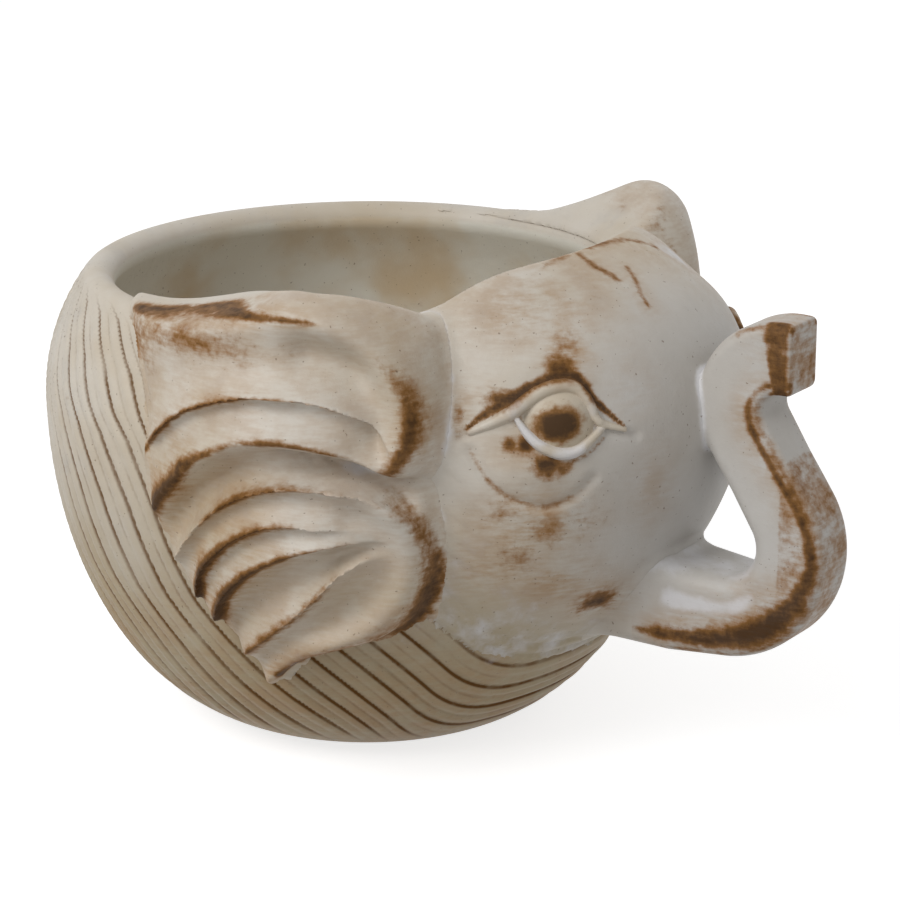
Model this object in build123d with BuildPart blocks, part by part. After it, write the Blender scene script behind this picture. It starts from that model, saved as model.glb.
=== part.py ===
from build123d import *
from math import acos, atan2, cos, degrees, hypot, radians, sin, sqrt
import os

# Elephant planter in fired clay: a round bowl with a head, ears and a looped trunk luted onto it.
# Millimetres. The origin is the centre of the foot, +X is the way the head faces, +Y its left and +Z up.

# Bowl
bowl_height = 148.0
belly_radius = 103.5
belly_drop = 41.5
foot_radius = 36.0
wall_thickness = 11.0
rim_draw = 12.0
floor_thickness = 13.0
drain_radius = 6.0

# Strands: lines combed into the bowl, from the rim down and forward, and round under the chin
strand_width = 3.0
strand_depth = 1.2
strand_below_rim = 6.0
strand_level = 44.0
strand_bottom = 14.0
strand_first_bearing = 79.3
strand_step_bearing = 15.4
strand_count = 7
strand_sweep_bearing = 18.3
strand_curl_bearing = 22.7
chin_level = 36.0
chin_pitch = 7.9
chin_top = 57.0
chin_fall = 4.2
chin_reach_bearing = 41.5
chin_step_bearing = 5.0
chin_count = 4

# Head: a hollow shell, a broad cranium run into a lower muzzle
face_proud = 27.5
cranium_sink = 41.5
cranium_half_width = 70.0
cranium_half_height = 48.0
cranium_drop = 29.0
muzzle_proud = 15.0
muzzle_sink = 53.0
muzzle_half_width = 72.0
muzzle_half_height = 54.0
muzzle_drop = 60.0
cheek_blend = 75.0
head_shell = 10.0

# Trunk: it leaves the lower face, curls up, leans back on the forehead and turns its tip out
root_drop = 29.5
root_sink = 19.5
root_width = 31.0
root_thickness = 28.0
curl_forward = 4.5
curl_radius = 22.0
curl_width = 23.0
curl_thickness = 22.0
waist_rise = 44.0
waist_width = 22.0
waist_thickness = 17.0
waist_press = 1.5
tip_curl_radius = 16.0
tip_width = 18.0
tip_thickness = 21.0
tip_length = 2.0
trunk_round = 6.0
tip_bevel = 2.0

# Ears: two fluted lobes on each side, cut from a swollen pad on the belly
ear_bearing = 70.0
ear_length = 101.0
ear_back = 53.0
ear_bottom = 40.0
ear_rise = 16.0
pad_bearing = 66.0
pad_proud = 14.5
pad_radius = 64.0
pad_half_height = 105.0
pad_lift = 3.5
flute_depth = 4.0
# Outlines as shares of the ear's length from its back tip, and of its height from its lowest point
ear_crown_shares = [(0.00, 0.89), (0.24, 0.91), (0.43, 0.95), (0.64, 1.00)]
ear_top_shares = [*ear_crown_shares, (0.82, 0.97), (0.94, 0.86), (0.99, 0.71)]
ear_front_share = (0.95, 0.57)
ear_valley_shares = [ear_front_share, (0.88, 0.53), (0.71, 0.60), (0.51, 0.63), (0.34, 0.59), (0.15, 0.45)]
ear_back_shares = [(0.15, 0.45), (0.14, 0.65), (0.08, 0.80), (0.00, 0.89)]
ear_lower_shares = [ear_front_share, (0.97, 0.36), (0.80, 0.14), (0.61, 0.09), (0.48, 0.00)]
ear_nape_shares = [(0.48, 0.00), (0.33, 0.16), (0.20, 0.31), (0.15, 0.45)]
# Flutes as the start, middle and end of an arc, in the same shares, each with its own radius
upper_flute_radii = [9.0, 6.0]
upper_flute_shares = [
    [(0.04, 0.75), (0.55, 0.86), (0.86, 0.70)],
    [(0.06, 0.58), (0.53, 0.71), (0.84, 0.62)],
]
lower_flute_radii = [5.5, 5.0, 6.0]
lower_flute_shares = [
    [(0.24, 0.36), (0.56, 0.50), (0.87, 0.44)],
    [(0.26, 0.17), (0.53, 0.39), (0.86, 0.37)],
    [(0.36, 0.04), (0.60, 0.24), (0.80, 0.34)],
]

# Eyes: a pellet pressed on each side of the face between two thin coils
eye_angle = 49.0
eye_lift = 6.0
eyeball_radius = 13.0
eyeball_proud = 4.0
lid_radius = 2.3
eye_half_length = 13.5
# The lids' arcs as shares of the eye's half length, forward and up from its centre
upper_lid_shares = [(-1.05, 0.12), (0.05, 0.82), (1.00, -0.06)]
lower_lid_shares = [(-0.88, -0.06), (0.10, -0.72), (0.96, -0.30)]

# How far helper solids run past what they cut
overrun = 40.0

# Worked out from the sizes above
belly_height = bowl_height - belly_drop
lip_height = bowl_height - wall_thickness / 2
strand_top = bowl_height - strand_below_rim
rim_radius = belly_radius - wall_thickness / 2 - rim_draw
rim_lift = lip_height - belly_height
shoulder_radius = (rim_lift**2 + rim_draw**2) / (2 * rim_draw) + wall_thickness / 2
shoulder_x = belly_radius - shoulder_radius
lip_angle = degrees(atan2(rim_lift, rim_radius - shoulder_x))
face_x = belly_radius + face_proud
cranium_height = bowl_height - cranium_drop
muzzle_height = bowl_height - muzzle_drop
ear_height = bowl_height + ear_rise - ear_bottom
os.makedirs("parts", exist_ok=True)


def write(piece, name):
    piece.part.label = name
    export_step(piece.part, f"parts/{name}.step")


def write_mirrored(piece, name):
    with BuildPart() as other_side:
        mirror(piece.part, about=Plane.XZ)
    write(other_side, name)


def bowl_outside(inset=0):
    """The bowl's outer line: the foot, an ellipse below the belly and an arc above it, up to the lip."""
    Line((0, inset), (foot_radius, inset))
    EllipticalCenterArc(
        (foot_radius, belly_height),
        belly_radius - foot_radius - inset,
        belly_height - inset,
        start_angle=270,
        arc_size=90,
    )
    return CenterArc((shoulder_x, belly_height), shoulder_radius - inset, 0, lip_angle)


def bowl_point(bearing, height):
    """A point on the bowl's outer surface, at a bearing from the head towards its right."""
    rise = height - belly_height
    if rise < 0:
        out = foot_radius + (belly_radius - foot_radius) * sqrt(1 - (rise / belly_height) ** 2)
    else:
        out = shoulder_x + sqrt(shoulder_radius**2 - rise**2)
    return (out * cos(radians(bearing)), -out * sin(radians(bearing)), height)


def comb(low, middle, high):
    """One tooth of the comb: a plate standing outward on the chord of three points on the bowl."""
    along = Vector(high) - Vector(low)
    facing = along.cross(Vector(middle) - Vector(low))
    with BuildSketch(Plane(origin=low, x_dir=along, z_dir=facing)) as tooth:
        Rectangle(along.length, overrun, align=(Align.MIN, Align.MIN))
    extrude(tooth.sketch, amount=strand_width / 2, both=True)


# The lines fade out where the chord meets the bowl, and run straighter towards the back
with BuildPart() as strands:
    for number in range(strand_count):
        first = strand_first_bearing + number * strand_step_bearing
        calm = (180 - first) / (180 - strand_first_bearing)
        stations = []
        for height in (strand_bottom, (strand_bottom + strand_top) / 2, strand_top):
            above = (height - strand_level) / (bowl_height - strand_level)
            turned = first + calm * (strand_sweep_bearing * above + strand_curl_bearing * above**2)
            stations.append(bowl_point(turned, height))
        comb(*stations)
    mirror(about=Plane.XZ)
    for number in range(chin_count):
        low = bowl_point(0, chin_level - number * chin_pitch)
        reach = chin_reach_bearing + number * chin_step_bearing
        high = chin_top - number * chin_fall
        comb(bowl_point(-reach, high), low, bowl_point(reach, high))
    with BuildSketch(Plane.XZ):
        with BuildLine():
            shoulder = bowl_outside(strand_depth)
            Line(shoulder @ 1, (0, bowl_height))
            Line((0, bowl_height), (0, strand_depth))
        make_face()
    revolve(axis=Axis.Z, mode=Mode.SUBTRACT)

# Bowl: one revolved section with a round lip, combed
with BuildPart() as bowl:
    with BuildSketch(Plane.XZ):
        with BuildLine():
            bowl_outside()
            CenterArc((rim_radius, lip_height), wall_thickness / 2, lip_angle, 180)
            CenterArc((shoulder_x, belly_height), shoulder_radius - wall_thickness, 0, lip_angle)
            EllipticalCenterArc(
                (foot_radius, belly_height),
                belly_radius - foot_radius - wall_thickness,
                belly_height - floor_thickness,
                start_angle=270,
                arc_size=90,
            )
            Line((foot_radius, floor_thickness), (0, floor_thickness))
            Line((0, floor_thickness), (0, 0))
        make_face()
    revolve(axis=Axis.Z)
    with Locations((0, 0, floor_thickness)):
        Hole(drain_radius, depth=floor_thickness)
    add(strands.part, mode=Mode.SUBTRACT)
write(bowl, "bowl")

# The bowl's outer form, filled and carried up through the mouth: what is luted on is cut to it
with BuildPart() as bowl_form:
    with BuildSketch(Plane.XZ):
        with BuildLine():
            bowl_outside()
            CenterArc((rim_radius, lip_height), wall_thickness / 2, lip_angle, 90 - lip_angle)
            Line((rim_radius, bowl_height), (rim_radius, bowl_height + overrun))
            Line((rim_radius, bowl_height + overrun), (0, bowl_height + overrun))
            Line((0, bowl_height + overrun), (0, 0))
        make_face()
    revolve(axis=Axis.Z)


cranium_centre = (belly_radius - cranium_sink, 0, cranium_height)
cranium_size = (cranium_sink + face_proud, cranium_half_width, cranium_half_height)
muzzle_centre = (belly_radius - muzzle_sink, 0, muzzle_height)
muzzle_size = (muzzle_sink + muzzle_proud, muzzle_half_width, muzzle_half_height)


def egg(centre, half_sizes, inset=0):
    """An ellipsoid with its seam at the back, drawn in by an inset."""
    with BuildPart() as form:
        Sphere(1, rotation=(0, 0, 180))
        scale(by=tuple(half_size - inset for half_size in half_sizes))
    return form.part.moved(Location(centre))


with BuildPart() as head_form:
    add(egg(cranium_centre, cranium_size))
    add(egg(muzzle_centre, muzzle_size))
    fillet(head_form.edges(Select.NEW), cheek_blend)
head_outer = head_form.part

# Head: the shell that is left outside the bowl
with BuildPart() as head:
    add(head_outer)
    add(egg(cranium_centre, cranium_size, head_shell), mode=Mode.SUBTRACT)
    add(egg(muzzle_centre, muzzle_size, head_shell), mode=Mode.SUBTRACT)
    add(bowl_form.part, mode=Mode.SUBTRACT)
write(head, "head")


def trunk_plane(x, z, heading):
    """The plane across the trunk where it passes a point of the middle plane, with its heading in degrees."""
    return Plane(origin=(x, 0, z), x_dir=(0, 1, 0), z_dir=(cos(radians(heading)), 0, sin(radians(heading))))


# The trunk's middle line: a straight root, an arc up, a straight lean back and an arc out to the tip
root_height = muzzle_height - root_drop
curl_x = face_x + curl_forward
curl_z = root_height + curl_radius
waist_height = curl_z + waist_rise
tip_x = face_x - waist_press + waist_thickness / 2 + tip_curl_radius
centres_apart = hypot(tip_x - curl_x, waist_height - curl_z)
centres_angle = degrees(atan2(waist_height - curl_z, tip_x - curl_x))
leave_angle = centres_angle - degrees(acos((curl_radius + tip_curl_radius) / centres_apart))


def on_curl(angle):
    x = curl_x + curl_radius * cos(radians(angle))
    z = curl_z + curl_radius * sin(radians(angle))
    return trunk_plane(x, z, angle + 90)


def on_tip_curl(angle):
    x = tip_x + tip_curl_radius * cos(radians(angle))
    z = waist_height + tip_curl_radius * sin(radians(angle))
    return trunk_plane(x, z, angle - 90)


def on_root(x):
    return trunk_plane(x, root_height, 0)


lean_start = on_curl(leave_angle).origin
lean_end = on_tip_curl(leave_angle + 180).origin
lean_middle = (lean_start + lean_end) / 2
on_lean = trunk_plane(lean_middle.X, lean_middle.Z, leave_angle + 90)
full_turn = leave_angle + 90
# The trunk thins from its root to its waist and thickens again to its tip
trunk_slices = [
    (on_root(belly_radius - root_sink), root_width, root_thickness),
    (on_root(belly_radius), root_width, root_thickness),
    (on_root((belly_radius + curl_x) / 2), root_width, root_thickness),
    (on_curl(-90), (root_width + curl_width) / 2, (2 * root_thickness + curl_thickness) / 3),
    (on_curl(-90 + full_turn / 3), curl_width, (root_thickness + 2 * curl_thickness) / 3),
    (on_curl(-90 + full_turn * 2 / 3), curl_width, curl_thickness),
    (on_curl(leave_angle), curl_width, (2 * curl_thickness + waist_thickness) / 3),
    (on_lean, waist_width, (curl_thickness + 2 * waist_thickness) / 3),
    (on_tip_curl(leave_angle + 180), waist_width, waist_thickness),
    (on_tip_curl(90 + full_turn * 2 / 3), waist_width, waist_thickness),
    (on_tip_curl(90 + full_turn / 3), (waist_width + tip_width) / 2, (waist_thickness + tip_thickness) / 2),
    (on_tip_curl(90), tip_width, tip_thickness),
]
tip_end = on_tip_curl(90).offset(tip_length + tip_bevel)
tip_slices = [
    (on_tip_curl(90), tip_width, tip_thickness),
    (on_tip_curl(90).offset(tip_length), tip_width, tip_thickness),
    (tip_end, tip_width - 2 * tip_bevel, tip_thickness - 2 * tip_bevel),
]

with BuildPart() as trunk:
    for across, width, thickness in trunk_slices:
        with BuildSketch(across):
            RectangleRounded(width, thickness, trunk_round)
    loft()
    for across, width, thickness in tip_slices:
        with BuildSketch(across):
            RectangleRounded(width, thickness, trunk_round)
    loft(ruled=True)
    add(head_outer, mode=Mode.SUBTRACT)
    add(bowl_form.part, mode=Mode.SUBTRACT)
write(trunk, "trunk")

# Ears: outlines drawn square to the ear's bearing, with the pad's swell and arcs of flutes
bearing = radians(ear_bearing)
ear_out = Vector(cos(bearing), -sin(bearing), 0)
ear_plane = Plane(origin=(0, 0, 0), x_dir=(sin(bearing), cos(bearing), 0), z_dir=ear_out)
pad_height = belly_height + pad_lift
pad_out = belly_radius + pad_proud - pad_radius
pad_centre = (pad_out * cos(radians(pad_bearing)), -pad_out * sin(radians(pad_bearing)), pad_height)
pad_local = ear_plane.to_local_coords(Vector(*pad_centre))


def ear_point(shares):
    return (shares[0] * ear_length - ear_back, ear_bottom + shares[1] * ear_height)


def on_pad(shares, lift):
    """A point over the pad's surface, given by its place in the ear's outline, lifted off by some length."""
    across, up = ear_point(shares)
    level = pad_radius * sqrt(1 - ((up - pad_height) / pad_half_height) ** 2)
    out = pad_local.Z + sqrt(level**2 - (across - pad_local.X) ** 2)
    return ear_plane.from_local_coords(Vector(across, up, out + lift))


def ear_lobe(outline, flute_shares, flute_radii):
    """One lobe: the swollen pad inside an outline, off the bowl, with finger flutes drawn along it."""
    with BuildPart() as lobe:
        with BuildSketch(ear_plane):
            with BuildLine():
                for stretch in outline:
                    Spline(*[ear_point(shares) for shares in stretch])
            make_face()
        extrude(amount=belly_radius + overrun)
        add(egg(pad_centre, (pad_radius, pad_radius, pad_half_height)), mode=Mode.INTERSECT)
        add(bowl_form.part, mode=Mode.SUBTRACT)
        add(head_outer, mode=Mode.SUBTRACT)
        for (start, middle, end), radius in zip(flute_shares, flute_radii):
            sunk = radius - flute_depth
            with BuildLine() as route:
                ThreePointArc(on_pad(start, sunk), on_pad(middle, sunk), on_pad(end, radius))
            with BuildSketch(Plane(origin=route.line @ 0, z_dir=route.line % 0)):
                Circle(radius)
            sweep(path=route.line, mode=Mode.SUBTRACT)
    return lobe


upper_outline = [[*ear_top_shares, ear_front_share], ear_valley_shares, ear_back_shares]
right_ear_upper = ear_lobe(upper_outline, upper_flute_shares, upper_flute_radii)
lower_outline = [ear_valley_shares, ear_lower_shares, ear_nape_shares]
right_ear_lower = ear_lobe(lower_outline, lower_flute_shares, lower_flute_radii)
write(right_ear_upper, "right_ear_upper")
write(right_ear_lower, "right_ear_lower")
write_mirrored(right_ear_upper, "left_ear_upper")
write_mirrored(right_ear_lower, "left_ear_lower")

# Eyes: drawn on the plane that touches the cranium's side at the eye
eye_turn = radians(eye_angle)
eye_level = sqrt(1 - (eye_lift / cranium_half_height) ** 2)
eye_forward = eye_level * (cranium_sink + face_proud) * cos(eye_turn)
eye_sideways = eye_level * cranium_half_width * sin(eye_turn)
eye_offset = Vector(eye_forward, -eye_sideways, eye_lift)
eye_out = Vector(*[along / half_size**2 for along, half_size in zip(eye_offset, cranium_size)]).normalized()
eye_centre = eye_offset + Vector(*cranium_centre)
eye_plane = Plane(origin=eye_centre, x_dir=Vector(-eye_out.Y, eye_out.X, 0), z_dir=eye_out)

with BuildPart() as right_eyeball:
    with Locations(eye_plane.offset(eyeball_proud - eyeball_radius)):
        Sphere(eyeball_radius)
    add(head_outer, mode=Mode.SUBTRACT)
write(right_eyeball, "right_eyeball")
write_mirrored(right_eyeball, "left_eyeball")


def eyelid(lid_shares, cutters):
    """A thin coil of clay bent along an arc of the eye's plane and pressed onto what lies under it."""
    with BuildPart() as lid:
        with BuildLine(eye_plane) as route:
            ThreePointArc(*[(forward * eye_half_length, up * eye_half_length) for forward, up in lid_shares])
        with BuildSketch(Plane(origin=route.line @ 0, z_dir=route.line % 0)):
            Circle(lid_radius)
        sweep(path=route.line)
        for cutter in cutters:
            add(cutter, mode=Mode.SUBTRACT)
    return lid


right_upper_eyelid = eyelid(upper_lid_shares, [head_outer, right_eyeball.part])
right_lower_eyelid = eyelid(lower_lid_shares, [head_outer, right_eyeball.part, right_upper_eyelid.part])
write(right_upper_eyelid, "right_upper_eyelid")
write(right_lower_eyelid, "right_lower_eyelid")
write_mirrored(right_upper_eyelid, "left_upper_eyelid")
write_mirrored(right_lower_eyelid, "left_lower_eyelid")
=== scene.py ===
import math
from concurrent.futures import ThreadPoolExecutor

import bpy
import numpy as np
import openvdb
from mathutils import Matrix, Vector


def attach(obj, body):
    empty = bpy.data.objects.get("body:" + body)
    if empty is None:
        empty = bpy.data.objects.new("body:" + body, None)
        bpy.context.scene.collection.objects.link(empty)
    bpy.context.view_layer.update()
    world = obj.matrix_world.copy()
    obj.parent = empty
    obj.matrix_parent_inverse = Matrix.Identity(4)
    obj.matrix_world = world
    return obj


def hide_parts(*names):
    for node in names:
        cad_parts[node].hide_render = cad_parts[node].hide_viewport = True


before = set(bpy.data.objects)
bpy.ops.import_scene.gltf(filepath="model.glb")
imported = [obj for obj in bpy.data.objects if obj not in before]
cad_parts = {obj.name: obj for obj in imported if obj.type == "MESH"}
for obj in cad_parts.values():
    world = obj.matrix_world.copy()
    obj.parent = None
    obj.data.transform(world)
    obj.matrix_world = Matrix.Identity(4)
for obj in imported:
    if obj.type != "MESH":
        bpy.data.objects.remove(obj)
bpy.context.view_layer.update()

# Elephant planter. Lengths in millimetres until the meshes are made; the same frame as the solids.
MM = 0.001

# Sizes of the solids
BOWL_HEIGHT, RIM_RADIUS, BELLY_RADIUS, BELLY_HEIGHT = 148.0, 86.0, 103.5, 106.5
FOOT_RADIUS, WALL, FLOOR, DRAIN_RADIUS = 36.0, 11.0, 13.0, 6.0
CRANIUM_CENTRE, CRANIUM_SIZE = np.array([62.0, 0, 119.0]), np.array([69.0, 70.0, 48.0])
MUZZLE_CENTRE, MUZZLE_SIZE = np.array([50.5, 0, 88.0]), np.array([68.0, 72.0, 54.0])
CHEEK_BLEND, CROWN_LIFT = 26.0, 4.0
EAR_BEARING, PAD_BEARING, PAD_PROUD, PAD_RADIUS = 70.0, 66.0, 14.5, 64.0
PAD_HALF_HEIGHT, PAD_HEIGHT = 105.0, 110.0
EAR_MOUTH_RADIUS, EAR_FLARE = 82.5, 1.1
EYE_ANGLE, EYE_HEIGHT, EYEBALL_RADIUS, EYEBALL_PROUD = 49.0, 125.0, 13.0, 3.0
FACE_X = 131.0
ROOT_START, ROOT_HEIGHT, CURL_FORWARD, CURL_RADIUS = 84.0, 58.5, 6.5, 22.0
WAIST_HEIGHT, WAIST_THICKNESS, WAIST_PRESS, TIP_CURL_RADIUS, TIP_LENGTH = 124.5, 17.0, 1.5, 16.0, 4.0
TRUNK_ROUNDS = [6.0, 5.5, 3.2, 2.4]

LIP_HEIGHT = BOWL_HEIGHT - WALL / 2
BELLY_SPREAD = BELLY_RADIUS - FOOT_RADIUS
RIM_DRAW = BELLY_RADIUS - WALL / 2 - RIM_RADIUS
RIM_LIFT = LIP_HEIGHT - BELLY_HEIGHT
SHOULDER_RADIUS = (RIM_LIFT**2 + RIM_DRAW**2) / (2 * RIM_DRAW) + WALL / 2
SHOULDER_X = BELLY_RADIUS - SHOULDER_RADIUS
LIP_ANGLE = math.atan2(RIM_LIFT, RIM_RADIUS - SHOULDER_X)
OUT_OF_PLAY = -1e3


# Small helpers on arrays
def smin(a, b, k):
    h = np.clip(0.5 + 0.5 * (b - a) / k, 0, 1)
    return b + (a - b) * h - k * h * (1 - h)


def smax(a, b, k):
    return -smin(-a, -b, k)


def step_up(low, high, x):
    t = np.clip((x - low) / (high - low), 0, 1)
    return t * t * (3 - 2 * t)


def bump(x, width):
    return np.exp(-((x / width) ** 2))


def spot(a, b, place):
    """A soft oval spot on a plane, given its centre, half sizes and strength."""
    ca, cb, ra, rb, strength = place
    return strength * np.exp(-(((a - ca) / ra) ** 2) - (((b - cb) / rb) ** 2))


def spread(along, values):
    """Values spaced evenly over a way from 0 to 1, read at places along it."""
    return np.interp(along, np.linspace(0, 1, len(values)), values)


def curve_through(points, per_span=8, closed=False):
    """Points along a smooth line through the given ones."""
    p = np.array(points, float)
    n = len(p)
    spans = n if closed else n - 1
    out = []
    for i in range(spans):
        if closed:
            a, b, c, d = (p[(i + j) % n] for j in (-1, 0, 1, 2))
        else:
            b, c = p[i], p[i + 1]
            a = p[i - 1] if i else 2 * b - c
            d = p[i + 2] if i + 2 < n else 2 * c - b
        for t in np.arange(per_span) / per_span:
            bend = (2 * a - 5 * b + 4 * c - d) * t**2
            out.append(0.5 * (2 * b + (c - a) * t + bend + (3 * b - a - 3 * c + d) * t**3))
    if not closed:
        out.append(p[-1])
    return np.array(out)


def line_distance(points, line, closed=False):
    """Distance of points to a polyline, and the share of the way along it."""
    a = line if closed else line[:-1]
    b = np.roll(line, -1, axis=0) if closed else line[1:]
    best = np.full(len(points), 1e9)
    along = np.zeros(len(points))
    for i, (p, q) in enumerate(zip(a, b)):
        d = q - p
        t = np.clip(((points - p) @ d) / max(d @ d, 1e-9), 0, 1)
        gap = np.linalg.norm(points - p - t[:, None] * d, axis=1)
        closer = gap < best
        best = np.where(closer, gap, best)
        along = np.where(closer, (i + t) / len(a), along)
    return best, along


def inside_outline(points, line):
    x, y = points[:, 0], points[:, 1]
    within = np.zeros(len(points), bool)
    for (x0, y0), (x1, y1) in zip(line, np.roll(line, -1, axis=0)):
        crosses = (y0 > y) != (y1 > y)
        if y0 != y1:
            within ^= crosses & (x < (x1 - x0) * (y - y0) / (y1 - y0) + x0)
    return within


class Chart:
    """A field kept on a flat grid and read between its points."""

    def __init__(self, low, high, step, make):
        self.low, self.step = np.array(low, float), step
        self.shape = tuple(int(math.ceil((h - l) / step)) + 1 for l, h in zip(low, high))
        a, b = np.meshgrid(*[l + step * np.arange(n) for l, n in zip(low, self.shape)], indexing="ij")
        self.values = make(np.stack([a.ravel(), b.ravel()], 1)).reshape(self.shape)

    def __call__(self, a, b):
        x = np.clip((a - self.low[0]) / self.step, 0, self.shape[0] - 1.001)
        y = np.clip((b - self.low[1]) / self.step, 0, self.shape[1] - 1.001)
        i, j = x.astype(int), y.astype(int)
        s, t = x - i, y - j
        v = self.values
        before = v[i, j] * (1 - s) + v[i + 1, j] * s
        after = v[i, j + 1] * (1 - s) + v[i + 1, j + 1] * s
        return before * (1 - t) + after * t


# Bowl
# Degrees that the strands at the back lean round, at heights up the bowl
LEAN_HEIGHTS = [0, 24, 44, 62, 80, 90, 100, 110, 118, 130, 143, 148]
LEAN_DEGREES = [-10, -5.5, 0, 7, 11, 13, 16, 19.5, 24, 29, 38, 46]
# In front they lean evenly, so many millimetres to a degree, and under the chin they hang level
FRONT_LEAN_FROM, FRONT_LEAN_PITCH = 44, 1.65
FRONT_TO_BACK, CALM_BACK = (58, 100), (125, 178)
STEEP_LINE, STEEP_BEARING, STEEP_PITCH = 3, 48.5, 7.7
LEVEL_LINE, LEVEL_HEIGHT, LEVEL_PITCH = 5, 36, 7.9
STRAND_TURN = 1.6
# Relief of the strands: their swelling, the drawn lines and the finer lines half way between
STRAND_PITCH, STRAND_SWELL, STRAND_TILT, STRAND_SINK = 8.5, 0.75, 0.35, 0.5
DRAWN_DEPTH, DRAWN_WIDTH, FINER_DEPTH, FINER_WIDTH = 1.5, 1.1, 0.7, 0.8
FINER_PER_STRAND, FINER_PER_MM, FINER_PER_DEGREE = 2.3, 0.045, 0.03
RELIEF_BEGINS, RELIEF_ENDS, RELIEF_LOST = (6, 20), (139, 147.5), 0.8
FOOT_EDGE = 3


def strand_number(bearing, z):
    """Which combed strand lies at a bearing in degrees and a height: whole numbers are the drawn lines."""
    back_shift = np.interp(z, LEAN_HEIGHTS, LEAN_DEGREES)
    front_shift = (z - FRONT_LEAN_FROM) / FRONT_LEAN_PITCH
    w = step_up(*FRONT_TO_BACK, bearing)
    calm = 1 - step_up(*CALM_BACK, bearing)
    moved = bearing - (front_shift * (1 - w) + back_shift * w) * calm
    steep = STEEP_LINE - (moved - STEEP_BEARING) / STEEP_PITCH
    level = LEVEL_LINE - (LEVEL_HEIGHT - z) / LEVEL_PITCH
    return smin(level, steep, STRAND_TURN)


def strand_relief(bearing, z):
    k = strand_number(bearing, z)
    gap = np.abs(k - np.round(k)) * STRAND_PITCH
    part = k - np.floor(k)
    swell = STRAND_SWELL * (1 - (2 * gap / STRAND_PITCH) ** 2) + STRAND_TILT * (part - 0.5)
    half_gap = np.abs(part - 0.5) * STRAND_PITCH
    phase = FINER_PER_STRAND * np.floor(k) + FINER_PER_MM * z + FINER_PER_DEGREE * bearing
    finer = 0.5 + 0.5 * np.sin(phase)
    drawn = DRAWN_DEPTH * bump(gap, DRAWN_WIDTH)
    shape = swell - drawn - FINER_DEPTH * finer * bump(half_gap, FINER_WIDTH) - STRAND_SINK
    fade = step_up(*RELIEF_BEGINS, z) * (1 - RELIEF_LOST * step_up(*RELIEF_ENDS, z))
    return shape * fade


def bowl_outer(p):
    """Distance to the bowl's filled outer form, without its strands."""
    rho, z = np.hypot(p[:, 0], p[:, 1]), p[:, 2]
    zc = np.clip(z, FOOT_EDGE, BELLY_HEIGHT)
    drop = (BELLY_HEIGHT - zc) / BELLY_HEIGHT
    level = np.sqrt(1 - drop**2)
    slope = BELLY_SPREAD * (BELLY_HEIGHT - zc) / BELLY_HEIGHT**2 / level
    low = (rho - (FOOT_RADIUS + BELLY_SPREAD * level)) / np.sqrt(1 + slope**2)
    arc = np.hypot(rho - SHOULDER_X, z - BELLY_HEIGHT) - SHOULDER_RADIUS
    lip = np.hypot(rho - RIM_RADIUS, z - LIP_HEIGHT) - WALL / 2
    up = np.minimum(np.maximum(arc, z - LIP_HEIGHT - WALL / 2), lip)
    return np.where(z < BELLY_HEIGHT, low, up)


def bowl_inner(p):
    """Distance to the bowl's hollow."""
    rho, z = np.hypot(p[:, 0], p[:, 1]), p[:, 2]
    zc = np.clip(z, FLOOR + 1, BELLY_HEIGHT)
    drop = (BELLY_HEIGHT - zc) / (BELLY_HEIGHT - FLOOR)
    r = FOOT_RADIUS + (BELLY_SPREAD - WALL) * np.sqrt(1 - drop**2)
    arc = np.hypot(rho - SHOULDER_X, z - BELLY_HEIGHT) - (SHOULDER_RADIUS - WALL)
    lip_in = np.maximum(rho - RIM_RADIUS, -(np.hypot(rho - RIM_RADIUS, z - LIP_HEIGHT) - WALL / 2))
    return np.where(z < BELLY_HEIGHT, rho - r, np.where(z < LIP_HEIGHT, arc, lip_in))


# Head
def egg(p, centre, size):
    q = (p - centre) / size
    k0 = np.linalg.norm(q, axis=1)
    k1 = np.linalg.norm(q / size, axis=1)
    return k0 * (k0 - 1) / np.maximum(k1, 1e-9)


eye_turn = math.radians(EYE_ANGLE)
eye_lift = EYE_HEIGHT - CRANIUM_CENTRE[2]
eye_level = math.sqrt(1 - (eye_lift / CRANIUM_SIZE[2]) ** 2)
eye_offset = np.array([
    eye_level * CRANIUM_SIZE[0] * math.cos(eye_turn),
    -eye_level * CRANIUM_SIZE[1] * math.sin(eye_turn),
    eye_lift,
])
EYE_CENTRE = CRANIUM_CENTRE + eye_offset
EYE_OUT = eye_offset / CRANIUM_SIZE**2
EYE_OUT = EYE_OUT / np.linalg.norm(EYE_OUT)
EYE_FORWARD = np.array([-EYE_OUT[1], EYE_OUT[0], 0])
EYE_FORWARD = EYE_FORWARD / np.linalg.norm(EYE_FORWARD)
EYE_UP = np.cross(EYE_OUT, EYE_FORWARD)


def eye_coords(p):
    q = p - EYE_CENTRE
    return q @ EYE_FORWARD, q @ EYE_UP, q @ EYE_OUT


# Folds round the eye, in its own plane: forward and up from its centre
UNDER_FOLD = curve_through([(-26, -8), (-23, -14), (-18, -20), (-11, -24), (-3, -25.5), (5, -22), (10, -17)], 4)
BACK_CORNER = curve_through([(-16, 1.5), (-21, -0.5), (-29, -4.5)], 3)
FRONT_CORNER = curve_through([(13, -2.5), (17, -3.6), (23, -5)], 3)
FOLD_DEPTH, FOLD_WIDTH, CORNER_DEPTH, CORNER_WIDTH = 1.1, 1.6, 0.9, 1.3
EYE_REACH, EYE_DEPTH = 60, 30
# Spots in that plane: forward, up, two half sizes and height
BROW, SOCKET, POUCH = (-3, 19, 26, 9, 0.5), (-1, 1, 17, 10, 2.6), (-9, -15, 13, 6, 1.3)
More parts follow.
